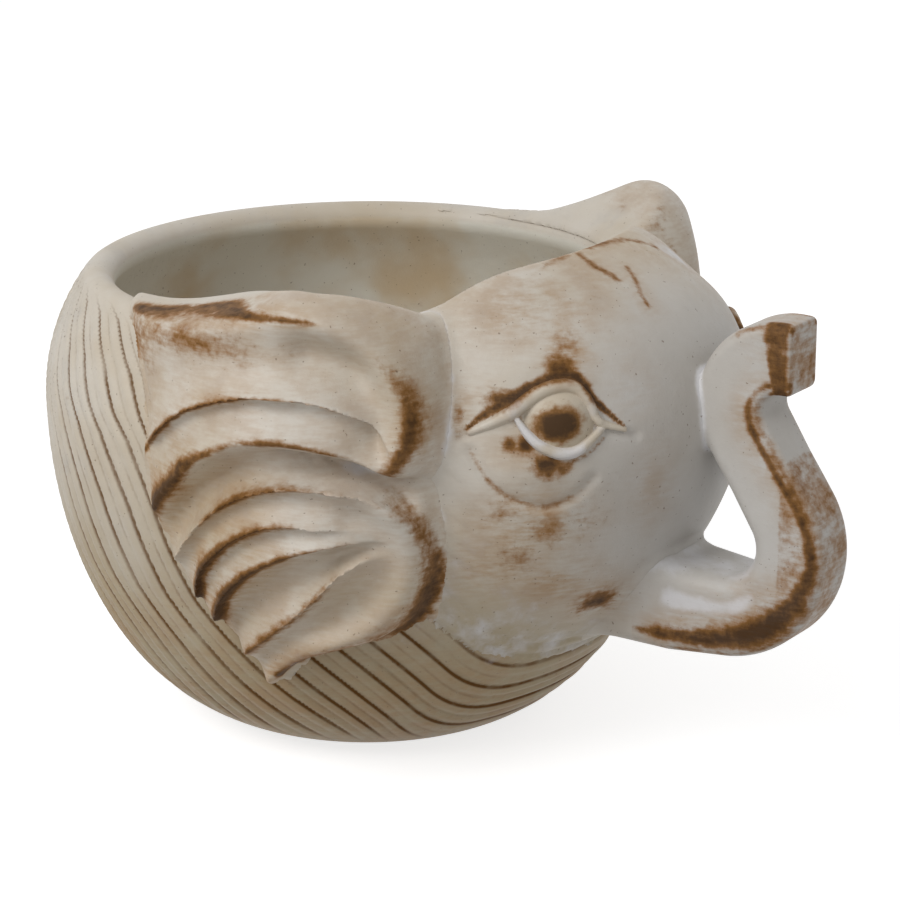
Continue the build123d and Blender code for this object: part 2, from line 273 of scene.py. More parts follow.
# The crown's swelling on each side: bearing and half width in degrees, then where it ends and begins
CROWN_BEARING, CROWN_SPREAD, CROWN_ENDS, CROWN_BEGINS = 32, 17, (88, 108), (128, 142)
HEAD_BELOW_LIP, HEAD_INSIDE_LIP, HEAD_EDGE_ROUND = 4, 3.0, 4.0


def head_plain(p):
    d = smin(egg(p, CRANIUM_CENTRE, CRANIUM_SIZE), egg(p, MUZZLE_CENTRE, MUZZLE_SIZE), CHEEK_BLEND)
    rho = np.hypot(p[:, 0], p[:, 1])
    turn = np.degrees(np.arctan2(-p[:, 1], p[:, 0]))
    crown = bump(turn - CROWN_BEARING, CROWN_SPREAD) * (1 - step_up(*CROWN_ENDS, rho))
    return d - CROWN_LIFT * (crown * step_up(*CROWN_BEGINS, p[:, 2]))


def head_form(p):
    """The head's outer form with its brow, eye socket, pouch and folds."""
    d = head_plain(p)
    f, u, o = eye_coords(p)
    near = np.where((np.abs(o) < EYE_DEPTH) & (np.hypot(f, u) < EYE_REACH))[0]
    if len(near):
        q = np.stack([f[near], u[near]], 1)
        fold = line_distance(q, UNDER_FOLD)[0]
        corner = np.minimum(line_distance(q, BACK_CORNER)[0], line_distance(q, FRONT_CORNER)[0])
        brow, socket, pouch = (spot(*q.T, place) for place in (BROW, SOCKET, POUCH))
        raised = brow - socket + pouch - FOLD_DEPTH * bump(fold, FOLD_WIDTH)
        d[near] -= raised - CORNER_DEPTH * bump(corner, CORNER_WIDTH)
    return d


def head_field(p):
    inside_lip = RIM_RADIUS - HEAD_INSIDE_LIP - np.hypot(p[:, 0], p[:, 1])
    cut = np.where(p[:, 2] > LIP_HEIGHT - HEAD_BELOW_LIP, inside_lip, OUT_OF_PLAY)
    return smax(head_form(p), cut, HEAD_EDGE_ROUND)


# Trunk
CURL_X, CURL_Z = FACE_X + CURL_FORWARD, ROOT_HEIGHT + CURL_RADIUS
TIP_X = FACE_X - WAIST_PRESS + WAIST_THICKNESS / 2 + TIP_CURL_RADIUS
tip_ahead, tip_above = TIP_X - CURL_X, WAIST_HEIGHT - CURL_Z
apart = math.hypot(tip_ahead, tip_above)
LEAVE = math.atan2(tip_above, tip_ahead) - math.acos((CURL_RADIUS + TIP_CURL_RADIUS) / apart)
LEAVE_WAY = np.array([math.cos(LEAVE), math.sin(LEAVE)])
LEAN_START = np.array([CURL_X, CURL_Z]) + CURL_RADIUS * LEAVE_WAY
LEAN_END = np.array([TIP_X, WAIST_HEIGHT]) - TIP_CURL_RADIUS * LEAVE_WAY
ROOT_RUN = CURL_X - ROOT_START
CURL_RUN = CURL_RADIUS * (LEAVE + math.pi / 2)
LEAN_RUN = float(np.linalg.norm(LEAN_END - LEAN_START))
TIP_RUN = TIP_CURL_RADIUS * (LEAVE + math.pi / 2)
S1, S2, S3, S4 = np.cumsum([ROOT_RUN, CURL_RUN, LEAN_RUN, TIP_RUN])
S_END = S4 + TIP_LENGTH
# The trunk is thicker at its waist than the solid, as the photo shows it
WIDTH_STATIONS = [
    0, ROOT_RUN * 0.7, S1, S1 + CURL_RUN / 3, S1 + CURL_RUN * 2 / 3, S2, (S2 + S3) / 2,
    S3, S3 + TIP_RUN / 3, S3 + TIP_RUN * 2 / 3, S4, S_END,
]
TRUNK_WIDTHS = [31, 31, 27, 23.5, 23, 23, 22, 22, 22, 20, 18, 17.5]
TRUNK_THICKNESSES = [28, 28, 26, 24.5, 23, 22, 21.5, 21.5, 21.5, 22, 22, 21.5]
TIP_EDGE_ROUND = 1.8


def trunk_coords(x, z):
    """Where a point of the middle plane lies along the trunk, and how far to its left."""
    best = np.full(len(x), 1e9)
    out = [np.zeros(len(x)) for _ in range(2)]

    def take(gap, s, n):
        closer = gap < best
        best[closer] = gap[closer]
        for target, value in zip(out, (s, n)):
            target[closer] = value[closer]

    def run(start, heading, length, s0):
        hx, hz = math.cos(heading), math.sin(heading)
        along = (x - start[0]) * hx + (z - start[1]) * hz
        n = -(x - start[0]) * hz + (z - start[1]) * hx
        held = np.clip(along, 0, length)
        take(np.hypot(n, along - held), s0 + held, n)

    def turn(cx, cz, radius, begin, sweep, s0):
        dx, dz = x - cx, z - cz
        r = np.hypot(dx, dz)
        way = 1 if sweep > 0 else -1
        angle = np.mod(way * (np.arctan2(dz, dx) - begin) + 0.5 * math.pi, 2 * math.pi) - 0.5 * math.pi
        held = np.clip(angle, 0, abs(sweep))
        ok = angle == held
        gap = np.where(ok, np.abs(r - radius), 1e6)
        take(gap, s0 + held * radius, way * (radius - r))

    run((ROOT_START, ROOT_HEIGHT), 0, ROOT_RUN, 0)
    turn(CURL_X, CURL_Z, CURL_RADIUS, -math.pi / 2, LEAVE + math.pi / 2, S1)
    run(LEAN_START, LEAVE + math.pi / 2, LEAN_RUN, S2)
    turn(TIP_X, WAIST_HEIGHT, TIP_CURL_RADIUS, LEAVE + math.pi, -(LEAVE + math.pi / 2), S3)
    run((TIP_X, WAIST_HEIGHT + TIP_CURL_RADIUS), 0, TIP_LENGTH, S4)
    return out


def trunk_halves(s):
    """Half the trunk's width and half its thickness, at places along it."""
    return [np.interp(s, WIDTH_STATIONS, sizes) / 2 for sizes in (TRUNK_WIDTHS, TRUNK_THICKNESSES)]


def trunk_field(p):
    s, n = trunk_coords(p[:, 0], p[:, 2])
    half_w, half_t = trunk_halves(s)
    r = np.interp(s, [0, S2, S4, S_END], TRUNK_ROUNDS)
    a, b = np.abs(p[:, 1]) - half_w + r, np.abs(n) - half_t + r
    d = np.hypot(np.maximum(a, 0), np.maximum(b, 0)) + np.minimum(np.maximum(a, b), 0) - r
    end = np.where(s >= S4, p[:, 0] - TIP_X - TIP_LENGTH, OUT_OF_PLAY)
    return smax(d, end, TIP_EDGE_ROUND)


# Ears: a fluted relief over the swollen pad, inside two outlines, in the plane square to the ear's bearing
bearing = math.radians(EAR_BEARING)
EAR_U = np.array([math.sin(bearing), math.cos(bearing), 0])
EAR_OUT = np.array([math.cos(bearing), -math.sin(bearing), 0])
pad_out = BELLY_RADIUS + PAD_PROUD - PAD_RADIUS
pad_turn = math.radians(PAD_BEARING)
PAD_CENTRE = np.array([pad_out * math.cos(pad_turn), -pad_out * math.sin(pad_turn), PAD_HEIGHT])
PAD_U, PAD_W = PAD_CENTRE @ EAR_U, PAD_CENTRE @ EAR_OUT

EAR_TOP = [
    (-55, 149.5), (-39, 152), (-29, 153.8), (-20, 156), (-12, 158), (-3, 160.3), (4, 162.3), (11, 163.6),
    (22, 163), (33, 159), (41, 153.7), (46.2, 148), (49.8, 138), (51, 127), (50, 116), (46, 110),
]
FAR_EAR_TOP = [
    (-53, 142), (-39, 144), (-25, 147), (-15, 150.4), (-8, 153.2), (-2, 156), (4.5, 159.6), (10, 162.9),
    (15.5, 164.5), (21, 164.9), (27, 163.3), (32.5, 159.3), (37.5, 153), (41.5, 145), (44.5, 137),
    (47.5, 127), (48.5, 116), (45, 110),
]
EAR_VALLEY = [(38, 109), (22, 114), (1, 117.5), (-17, 113), (-27, 105), (-38, 94)]
EAR_BACK = [(-40, 108), (-40, 122), (-44, 136), (-49, 145)]
EAR_LOWER = [
    (46, 105.5), (48.5, 97), (49.5, 88), (48, 79), (45, 70.5), (40, 63), (31, 57), (22, 54.5),
    (11, 51), (3, 45.5), (-3, 39),
]
EAR_NAPE = [(-9, 48), (-18, 59), (-26, 69), (-33, 81)]
UPPER_OUTLINE = curve_through(EAR_TOP + EAR_VALLEY + EAR_BACK, 5, closed=True)
FAR_OUTLINE = curve_through(FAR_EAR_TOP + EAR_VALLEY + EAR_BACK, 5, closed=True)
LOWER_OUTLINE = curve_through(EAR_LOWER + EAR_NAPE + EAR_VALLEY[::-1], 5, closed=True)

# Ridges from the top down
RIDGES = [
    [(-60, 149), (-42, 151), (-21, 155), (-1, 157), (16, 157), (30, 154), (40, 149)],
    [(-60, 84), (-50, 98), (-42, 110), (-30, 123), (-18, 130), (-3, 134), (11, 134), (21, 132),
     (31, 127), (36, 121), (42, 112)],
    [(-60, 60), (-45, 82), (-37, 96), (-30, 104), (-24, 111), (-17, 116), (-6, 121), (8, 121.5),
     (19, 119.5), (27, 117), (34, 113.5), (42, 109)],
    [(-60, 40), (-40, 64), (-30, 80), (-23, 90), (-15, 98), (-6, 104), (5, 107.5), (15, 108),
     (30, 106), (41, 99), (50, 90)],
    [(-60, 10), (-40, 35), (-28, 58), (-24, 67), (-21, 77), (-13, 86.5), (-4, 93), (5, 96), (15, 96),
     (26, 95), (34, 93), (42, 90)],
    [(-60, 0), (-40, 25), (-25, 48), (-18, 61), (-14, 70), (-5, 79.5), (6, 86), (15, 89), (26, 91),
     (34, 91), (42, 88)],
    [(-60, -10), (-40, 15), (-20, 38), (-9, 51), (2, 61), (12, 69.5), (18, 76), (24, 82), (32, 86), (42, 85)],
    [(-60, -20), (-40, 0), (-20, 22), (-9, 36), (2, 46), (12, 53), (22, 58), (31, 61), (40, 66), (50, 75)],
]
RIDGE_LINES = [curve_through(ridge, 6) for ridge in RIDGES]
# The flute under each ridge but the last: its depth, the place of its deepest point and where it fades out
FLUTES = [
    (5.0, 0.60, (24, 38)), (4.6, 0.24, (31, 40)), (10.5, 0.62, (38, 48)), (4.4, 0.36, (24, 38)),
    (4.2, 0.28, (14, 30)), (8.6, 0.40, (26, 38)), (4.6, 0.42, (22, 36)),
]
NARROWEST_BAND, FULL_BAND = 0.5, 11
# Crests of the rolled front rims, and the hollows inside them
UPPER_CREST = curve_through([
    (2, 159), (14, 157), (24, 154), (33.5, 147), (40, 139), (43, 131), (43, 122), (39, 114), (33, 110.5)], 5)
LOWER_CREST = curve_through([
    (26, 107), (35, 104.5), (41, 99.5), (44.5, 90), (45.5, 81), (42.5, 70.5), (36, 61.5), (26, 56.5),
    (13, 53), (1, 46)], 5)
UPPER_HOLLOW = curve_through([(14, 147), (24, 143.5), (30, 138), (33.5, 129), (32, 121)], 5)
LOWER_HOLLOW = curve_through([(28, 97), (34, 91.5), (35.5, 84), (33, 76), (27, 70), (18, 65)], 5)
ROLL_HEIGHT, ROLL_BEGINS, HOLLOW_DEPTH, EAR_LIFT = 3.4, (-4, 22), 3.6, 1.0
UPPER_ROLL_WIDTH, LOWER_ROLL_WIDTH, HOLLOW_WIDTH, LOWER_HOLLOW_SHARE = 7.5, 7.0, 6.5, 0.9
# Edges: their rounding, more in front; the inner face's lean over the lip; the fall of the top at the back
FACE_SCALE, EDGE_ROUND, FRONT_ROUND, FRONT_BEGINS = 0.8, 4.0, 7.5, (-35, 45)
BACK_LEAN, LEAN_BEGINS, MOUTH_EDGE_ROUND, MOUTH_BELOW_RIM = 0.1, (-14, 16), 4.0, 10
TOP_FALL, TOP_FALL_ENDS = 0.12, (-10, 8)


def pad_surface(u, z):
    level = PAD_RADIUS * np.sqrt(1 - ((z - PAD_HEIGHT) / PAD_HALF_HEIGHT) ** 2)
    return PAD_W + np.sqrt(np.clip(level**2 - (u - PAD_U) ** 2, 1, None))


def ear_relief(points):
    """Depth of the flutes under the pad's surface."""
    u, z = points.T
    heights = [np.interp(u, line[:, 0], line[:, 1]) for line in RIDGE_LINES]
    drop = np.zeros(len(u))
    for above, below, (depth, place, fade) in zip(heights, heights[1:], FLUTES):
        band = np.maximum(above - below, NARROWEST_BAND)
        t = (above - z) / band
        power = math.log(0.5) / math.log(place)
        on = (t > 0) & (t < 1)
        flute = np.sin(np.pi * np.clip(t, 0, 1) ** power) * on
        drop += depth * np.minimum(1, band / FULL_BAND) * flute * (1 - step_up(*fade, u))
    return drop


def ear_height(points):
    """How far out the ear's face stands."""
    u, z = points.T

    def along_line(line, width):
        return bump(line_distance(points, line)[0], width)

    rolls = np.maximum(along_line(UPPER_CREST, UPPER_ROLL_WIDTH), along_line(LOWER_CREST, LOWER_ROLL_WIDTH))
    lower_hollow = LOWER_HOLLOW_SHARE * along_line(LOWER_HOLLOW, HOLLOW_WIDTH)
    hollows = np.maximum(along_line(UPPER_HOLLOW, HOLLOW_WIDTH), lower_hollow)
    shaped = ROLL_HEIGHT * rolls * step_up(*ROLL_BEGINS, u) - HOLLOW_DEPTH * hollows
    return pad_surface(u, z) - ear_relief(points) + shaped + EAR_LIFT


def outline_field(line):
    def make(points):
        gap = line_distance(points, line, closed=True)[0]
        return np.where(inside_outline(points, line), -gap, gap)
    return make


CHART_LOW, CHART_HIGH, HEIGHT_STEP, OUTLINE_STEP = (-80, 10), (80, 190), 0.4, 0.8
ear_height_chart = Chart(CHART_LOW, CHART_HIGH, HEIGHT_STEP, ear_height)
upper_chart, far_chart, lower_chart = (
    Chart(CHART_LOW, CHART_HIGH, OUTLINE_STEP, outline_field(line))
    for line in (UPPER_OUTLINE, FAR_OUTLINE, LOWER_OUTLINE))


def ear_fields(p, far):
    """Distances to the ear's two lobes; the far ear's upper lobe has an outline of its own."""
    u, w, z = p @ EAR_U, p @ EAR_OUT, p[:, 2]
    face = (w - ear_height_chart(u, z)) * FACE_SCALE
    roll = EDGE_ROUND + FRONT_ROUND * step_up(*FRONT_BEGINS, u)
    rho = np.hypot(p[:, 0], p[:, 1])
    lean = BACK_LEAN + EAR_FLARE * step_up(*LEAN_BEGINS, u)
    inner = (EAR_MOUTH_RADIUS + lean * np.maximum(z - BOWL_HEIGHT, 0) - rho) / np.sqrt(1 + lean**2)
    top = z + TOP_FALL * np.maximum(rho - RIM_RADIUS, 0) * (1 - step_up(*TOP_FALL_ENDS, u))
    outline = np.where(far, far_chart(u, top), upper_chart(u, top))
    mouth = np.where(z > BOWL_HEIGHT - MOUTH_BELOW_RIM, inner, OUT_OF_PLAY)
    upper = smax(smax(outline, face, roll), mouth, MOUTH_EDGE_ROUND)
    lower = smax(lower_chart(u, z), face, roll)
    return upper, lower


# Eyes: the lids' coils in the eye's plane, and their radii along them
UPPER_LID = curve_through([
    (-26, -2.6), (-19, 0.3), (-13.4, 3.2), (-7.8, 7.2), (-0.9, 9.8), (4.6, 9.6), (8.2, 5.6), (11.8, -0.6),
    (19.5, -3.4)], 6)
LOWER_LID = curve_through([(-12.4, 0.8), (-9, -4), (-4.5, -7.6), (0.6, -9.3), (5.6, -8.3), (12.4, -2.6)], 6)
UPPER_LID_RADII = [0.8, 1.5, 1.9, 2.1, 2.1, 1.9, 1.5, 1.2, 0.6]
LOWER_LID_RADII = [0.8, 1.3, 1.6, 1.7, 1.6, 1.0]
LID_LIFT, LID_OFF_EYEBALL = 1.0, 0.6
LAY_FROM, LAY_STEPS, LAY_SHARE = 4, 12, 0.9


def on_head(line, lift):
    """A flat line of the eye's plane laid on the head's surface and lifted off it."""
    p = EYE_CENTRE + line[:, :1] * EYE_FORWARD + line[:, 1:] * EYE_UP + LAY_FROM * EYE_OUT
    for _ in range(LAY_STEPS):
        p = p - head_form(p)[:, None] * EYE_OUT * LAY_SHARE
    return p + lift * EYE_OUT


EYEBALL_SHIFT = (EYEBALL_PROUD - EYEBALL_RADIUS) * EYE_OUT
eyeball_centre = EYE_CENTRE + EYEBALL_SHIFT


def eyeball_field(p):
    f, u, o = eye_coords(p - EYEBALL_SHIFT)
    return np.sqrt(f**2 + u**2 + o**2) - EYEBALL_RADIUS


upper_lid_path = on_head(UPPER_LID, LID_LIFT)
lower_lid_path = on_head(LOWER_LID, LID_LIFT)
lid_reach = EYEBALL_RADIUS + LID_OFF_EYEBALL
for path in (upper_lid_path, lower_lid_path):
    out = path - eyeball_centre
    reach = np.linalg.norm(out, axis=1)
    sunk = reach < lid_reach
    path[sunk] = eyeball_centre + out[sunk] * (lid_reach / reach[sunk])[:, None]


def coil(p, path, radii):
    gap, along = line_distance(p, path)
    return gap - spread(along, radii)


# One joined surface, from which each piece takes its own share
FAR = 50.0
SEAM_OVERLAP, SEAM_SINK, SEAM_FADE, SKIN, PIECE_DEPTH = 1.2, 0.35, 0.7, 0.15, 2.0
# How softly the pieces run into each other
HEAD_BLEND, TRUNK_BLEND, TRUNK_ROOT_BLEND, TRUNK_ROOT_ENDS = 9.0, 2.5, 4.5, (70, 88)
LOBES_BLEND, EAR_BLEND, LIDS_BLEND, LID_BLEND, EYEBALL_BLEND = 1.5, 4.5, 0.8, 1.3, 0.5


def all_fields(p):
    """Distances to every piece on the right side, to the bowl's strands, and to the joined surface."""
    far = p[:, 1] > 0
    p = p.copy()
    p[:, 1] = -np.abs(p[:, 1])
    d = {}
    bowl = bowl_outer(p)
    turn = np.degrees(np.arctan2(-p[:, 1], p[:, 0]))
    d["bowl_plain"] = bowl
    d["bowl"] = np.maximum(bowl - strand_relief(turn, p[:, 2]), -bowl_inner(p))
    d["head"] = head_field(p)
    d["trunk"] = trunk_field(p)
    d["ear_upper"], d["ear_lower"] = ear_fields(p, far)
    near = np.where(np.linalg.norm(p - EYE_CENTRE, axis=1) < FAR)[0]
    for name in ("eyeball", "upper_eyelid", "lower_eyelid"):
        d[name] = np.full(len(p), FAR)
    if len(near):
        d["eyeball"][near] = eyeball_field(p[near])
        d["upper_eyelid"][near] = coil(p[near], upper_lid_path, UPPER_LID_RADII)
        d["lower_eyelid"][near] = coil(p[near], lower_lid_path, LOWER_LID_RADII)
    joined = smin(d["bowl"], d["head"], HEAD_BLEND)
    trunk_blend = TRUNK_BLEND + TRUNK_ROOT_BLEND * (1 - step_up(*TRUNK_ROOT_ENDS, p[:, 2]))
    joined = smin(joined, d["trunk"], trunk_blend)
    joined = smin(joined, smin(d["ear_upper"], d["ear_lower"], LOBES_BLEND), EAR_BLEND)
    joined = smin(joined, smin(d["upper_eyelid"], d["lower_eyelid"], LIDS_BLEND), LID_BLEND)
    d["joined"] = smin(joined, d["eyeball"], EYEBALL_BLEND)
    return d


LUTED = ["head", "trunk", "ear_upper", "ear_lower", "eyeball", "upper_eyelid", "lower_eyelid"]


def piece_field(p, name):
    """The share of the joined surface that is nearest to one piece, sunk a little under its neighbours."""
    d = all_fields(p)
    others = np.min([d[n] for n in LUTED if n != name], axis=0)
    own = d[name] - others
    skin = SKIN - (d["bowl"] - d["joined"])
    sunk = d["joined"] + SEAM_SINK * step_up(0, SEAM_FADE, own)
    return np.max([sunk, own - SEAM_OVERLAP, skin, -d["bowl_plain"] - PIECE_DEPTH], axis=0)


CORES, POINTS_AT_ONCE = 4, 150000


def in_parts(p, name):
    """The piece's field, worked out on several cores."""
    parts = np.array_split(p, max(CORES, len(p) // POINTS_AT_ONCE))
    with ThreadPoolExecutor(CORES) as pool:
        return np.concatenate(list(pool.map(lambda part: piece_field(part, name), parts)))


# The grid's band, in steps, and how the mesh is then drawn onto the surface
BAND, DRAWS, PROBE, LEAST_SLOPE, LONGEST_DRAW, DRAW_SHARE = 3, 3, 0.05, 0.3, 0.4, 0.8


def mesh_piece(name, low, high, step, mirrored):
    """Quads of one piece's surface, from its field on a grid."""
    low, high = np.array(low, float), np.array(high, float)
    counts = np.ceil((high - low) / step).astype(int) + 1
    axes = [l + step * np.arange(n) for l, n in zip(low, counts)]
    if mirrored:
        axes[1] = step * np.arange(-(counts[1] - 1), 1)
    g = np.stack(np.meshgrid(*axes, indexing="ij"), -1).reshape(-1, 3)
    field = in_parts(g, name).reshape([len(a) for a in axes])
    if mirrored:
        field = np.concatenate([field, field[:, -2::-1, :]], axis=1)
    field = np.clip(field, -BAND * step, BAND * step).astype(np.float32)
    grid = openvdb.FloatGrid(BAND * step)
    grid.copyFromArray(field, tolerance=0.0)
    points, quads = grid.convertToQuads(isovalue=0.0)
    points = points.astype(float) * step + np.array([a[0] for a in axes])
    for _ in range(DRAWS):
        f0 = in_parts(points, name)
        slope = np.stack([(in_parts(points + PROBE * way, name) - f0) / PROBE for way in np.eye(3)], 1)
        size = np.maximum((slope**2).sum(1), LEAST_SLOPE)
        draw = np.clip(f0 / size, -LONGEST_DRAW * step, LONGEST_DRAW * step)
        points -= draw[:, None] * slope * DRAW_SHARE
    return points, quads


SHARP_ANGLE = math.radians(55)


def add_mesh(name, points, quads, attributes):
    mesh = bpy.data.meshes.new(name)
    mesh.from_pydata((points * MM).tolist(), [], [list(map(int, q)) for q in quads])
    for key, values in attributes.items():
        layer = mesh.attributes.new(key, "FLOAT", "POINT")
        layer.data.foreach_set("value", np.asarray(values, np.float32))
    mesh.polygons.foreach_set("use_smooth", np.ones(len(mesh.polygons), bool))
    mesh.update()
    mesh.set_sharp_from_angle(angle=SHARP_ANGLE)
    piece = bpy.data.objects.new(name, mesh)
    bpy.context.scene.collection.objects.link(piece)
    return piece


# Marks on the clay: brown stain and its tan smear (tint), white slip in the seams, which also carries painted
# highlights on the trunk's root and the lower lids, a grey (cool) cast, and an olive cast that is partly painted
# shade
# For each ridge of the ear: places along it, with the stain's half width and strength there
RIDGE_STAINS = [
    ([-58, -50, -40, -20, 0, 14, 20], [2.2, 2.0, 1.3, 1.1, 1.0, 0.8, 0.5], [1.2, 1.2, 1.1, 1.0, 0.95, 0.8, 0.0]),
    ([-46, -38, -28, -10, 8, 20, 32], [0.8, 1.1, 1.0, 0.9, 0.8, 0.7, 0.5], [0.7, 0.9, 0.9, 0.85, 0.75, 0.6, 0.0]),
    ([-40, -34, -26, -18, -8, 6, 20, 30], [2.4, 2.6, 2.4, 1.4, 1.0, 1.2, 0.8, 0.5],
     [1.2, 1.2, 1.1, 0.8, 0.6, 0.75, 0.7, 0.0]),
    ([-20, -12, 0, 14, 28], [0.7, 1.0, 1.2, 1.0, 0.6], [0.5, 0.85, 0.75, 0.55, 0.0]),
    ([-27, -22, -12, 0, 10, 18], [1.5, 2.0, 1.8, 1.4, 1.2, 0.8], [1.0, 1.15, 1.0, 0.75, 0.55, 0.0]),
    ([-20, -14, -6, 6, 18, 32], [1.6, 2.0, 1.6, 1.2, 0.9, 0.6], [1.1, 1.2, 1.1, 0.9, 0.65, 0.0]),
    ([-12, -4, 6, 16, 24], [1.2, 1.6, 1.8, 1.6, 1.0], [0.8, 0.8, 0.7, 0.65, 0.0]),
]
RIDGE_STAIN_SPREAD, RIDGE_TINT_SPREAD, RIDGE_TINT_REACH, RIDGE_TINT = 1.25, 3.2, 2.5, 0.95
BACK_END, BACK_SMEAR = (-49, 143, 11, 8, 1.0), (-24, 147, 26, 5, 1.0)
# Stain along each lobe's rim: its line, then its strength and half width on the way
RIM_STAINS = {
    "ear_upper": (
        [(34, 146), (40, 139), (43, 131), (42.5, 122), (38, 113.5), (32, 111)],
        ([0, 0.25, 0.45, 0.7, 0.85, 1], [0.35, 0.65, 0.95, 0.95, 0.7, 0.4]), ([0, 1], [3.2, 3.2])),
    "ear_lower": (
        [(35, 104.5), (42, 99), (46.5, 90), (47.5, 81), (44.5, 70), (37.5, 60), (26, 55), (13, 51.5), (1, 44)],
        ([0, 0.1, 0.25, 0.4, 0.55, 0.7, 0.85, 1], [0.3, 0.55, 0.7, 1.05, 1.0, 0.75, 0.85, 1.1]),
        ([0, 0.4, 0.7, 1], [2.4, 3.3, 3.4, 1.8])),
}
RIM_TINT_WIDTH, EAR_TINT, EAR_OUTSIDE = 9.0, 0.45, (3, 9)
# The far ear is cleaner: where its stains are left out, then its thin edge line
FAR_TOP_FRONT, FAR_TOP_HEIGHT, FAR_RIM_HEIGHT = (10, 22), (140, 146), (118, 130)
FAR_EDGE_FRONT, FAR_EDGE_HEIGHT = (24, 34), (138, 146)
SEAM_SLIP, SEAM_SLIP_WIDTH, EAR_SLIP_ABOVE, HEAD_SLIP_ABOVE = 0.8, 2.4, (85, 100), (80, 95)
NOTCH_CENTRE, NOTCH_SIZE = (30, 112), (9, 2.2)
# Stain round the eye, in its own plane: the line over the upper lid, then spots
LID_STAIN = curve_through([
    (-27, -1.6), (-20.3, 3.4), (-13.6, 7), (-6.5, 11), (0.5, 13), (6, 12.2), (10.6, 5.6), (19, -2)], 5)
LID_STAIN_WIDTHS = [0.7, 1.9, 2.5, 1.9, 2.2, 1.7, 1.5, 0.6]
EYE_STAINS = [
    (0.8, 15.5, 5.5, 5.5, 0.85), (3, 22, 5, 5, 0.55), (-17.5, 6.6, 5, 3.4, 0.95), (-14.6, -6.4, 2.6, 2.4, 0.9),
    (-10, -6.6, 3, 3, 1.0), (-4.2, -12.6, 4.8, 4.2, 1.15), (0.8, -13.6, 3.4, 2.6, 0.8), (-29, 2, 2.2, 5, 0.55),
]
UNDER_LINE = curve_through([(3, -12.2), (8.5, -9.6), (13, -5.6)], 4)
FOLD_STAIN = ([0, 0.3, 0.7, 1], [0.35, 0.6, 0.5, 0.2])
FACE_DEPTH = 45
# Tan and stained areas of the face
FACE_TINTS = [
    (3, 20, 9, 10, 1.0), (-6, 32, 24, 13, 0.85), (-25, 5, 9, 10, 0.7), (-9, -31, 19, 12, 1.0),
    (29, -22, 8, 13, 0.45), (-20, -44, 15, 12, 0.8), (0, -50, 16, 10, 0.9), (14, -57, 13, 9, 0.8),
    (12, 40, 16, 9, 0.55), (-12, -8, 12, 7, 0.6), (22, 10, 10, 12, 0.25),
]
CHEEK_STAINS = [(-15, -27, 8, 5, 0.4), (-3, -33, 10, 6, 0.43), (-12, -41, 7, 7, 0.38), (6, -30, 8, 6, 0.36)]
# Streaks on the crown, as points in space with a width and strength
CROWN_STREAKS = [
    ([(86.2, -10.1, 163.9), (90.6, -11.9, 162.4), (94.4, -12.4, 160.9), (98, -11.4, 159.4),
      (101.3, -11.5, 157.8)], 1.8, 0.66),
    ([(98.5, -2.4, 159.8), (103.1, -5.4, 157.4), (107.2, -9.1, 154.8), (111.5, -11.4, 151.6)], 1.2, 0.64),
    ([(85, -3, 164), (85.5, 6, 164), (86.5, 13, 163.5), (88.5, 19, 162.5), (92, 24.5, 160)], 2.2, 0.64),
    ([(84, -30, 161), (84, -22, 163), (84.5, -14, 164)], 1.8, 0.5),
]
FAR_CROWN_SLIP, FAR_CROWN_SIZE = [93, 33, 155], [10, 8, 7]
# The olive cast darkens the bowl towards the bottom and the crease under the head: olive clay tone with painted
# shade
OLIVE_SHADE_HEIGHT, OLIVE_SHADE_FROM_BOWL, COOL_FROM_X = (35, 105), (0, 11), (84, 124)
MOUTH_CORNER, MOUTH_SIZE = np.array([104.0, -26.0, 61.5]), [1.0, 1.2, 0.9]
# Stain on the trunk's sides: places along it, the line's place across, its half width and strength
TRUNK_LINE_AT = [26, 36, 48, 60, 72, 80, 88, 95, 105, 114, 123, 135, 146, 157]
TRUNK_LINE_ACROSS = [-8, -7.5, -7, -5.6, -5.6, -7.2, -8.6, -8.4, -8, -7.4, -7.2, -7.8, -7.8, -7.4]
TRUNK_LINE_WIDTH = [1.5, 2.6, 3.8, 5.0, 5.6, 3.8, 2.4, 1.7, 1.5, 1.4, 1.5, 1.6, 1.4, 1.6]
TRUNK_LINE_STRENGTH = [0.5, 0.9, 1.1, 1.2, 1.25, 1.1, 1.0, 0.9, 0.85, 0.9, 1.0, 0.9, 0.7, 0.8]
CURL_CORNER, TIP_CORNER = 1.8, 1.5
TRUNK_SLIP_WIDTH, TRUNK_SLIP_ABOVE = 2.2, (98, 110)


def deepen(marks, **stronger):
    """Raises marks to the given values where these are stronger."""
    for key, values in stronger.items():
        marks[key] = np.maximum(marks[key], values)


def ridge_stain(u, z):
    """Stain along the ears' ridges, and the paler smear beside it."""
    q = np.stack([u, z], 1)
    stain, tint = np.zeros(len(u)), np.zeros(len(u))
    for line, (places, widths, strengths) in zip(RIDGE_LINES, RIDGE_STAINS):
        gap = line_distance(q, line)[0]
        width = np.interp(u, places, widths)
        strength = np.interp(u, places, strengths, left=0, right=0)
        stain = np.maximum(stain, bump(gap, RIDGE_STAIN_SPREAD * width) * strength)
        smear = RIDGE_TINT * bump(gap, RIDGE_TINT_SPREAD * width + RIDGE_TINT_REACH)
        tint = np.maximum(tint, smear * strength)
    end, smear = spot(u, z, BACK_END), spot(u, z, BACK_SMEAR)
    stain = np.maximum.reduce([stain, 0.72 * end, 0.5 * smear])
    return stain, np.maximum.reduce([tint, 1.2 * end, 0.9 * smear])


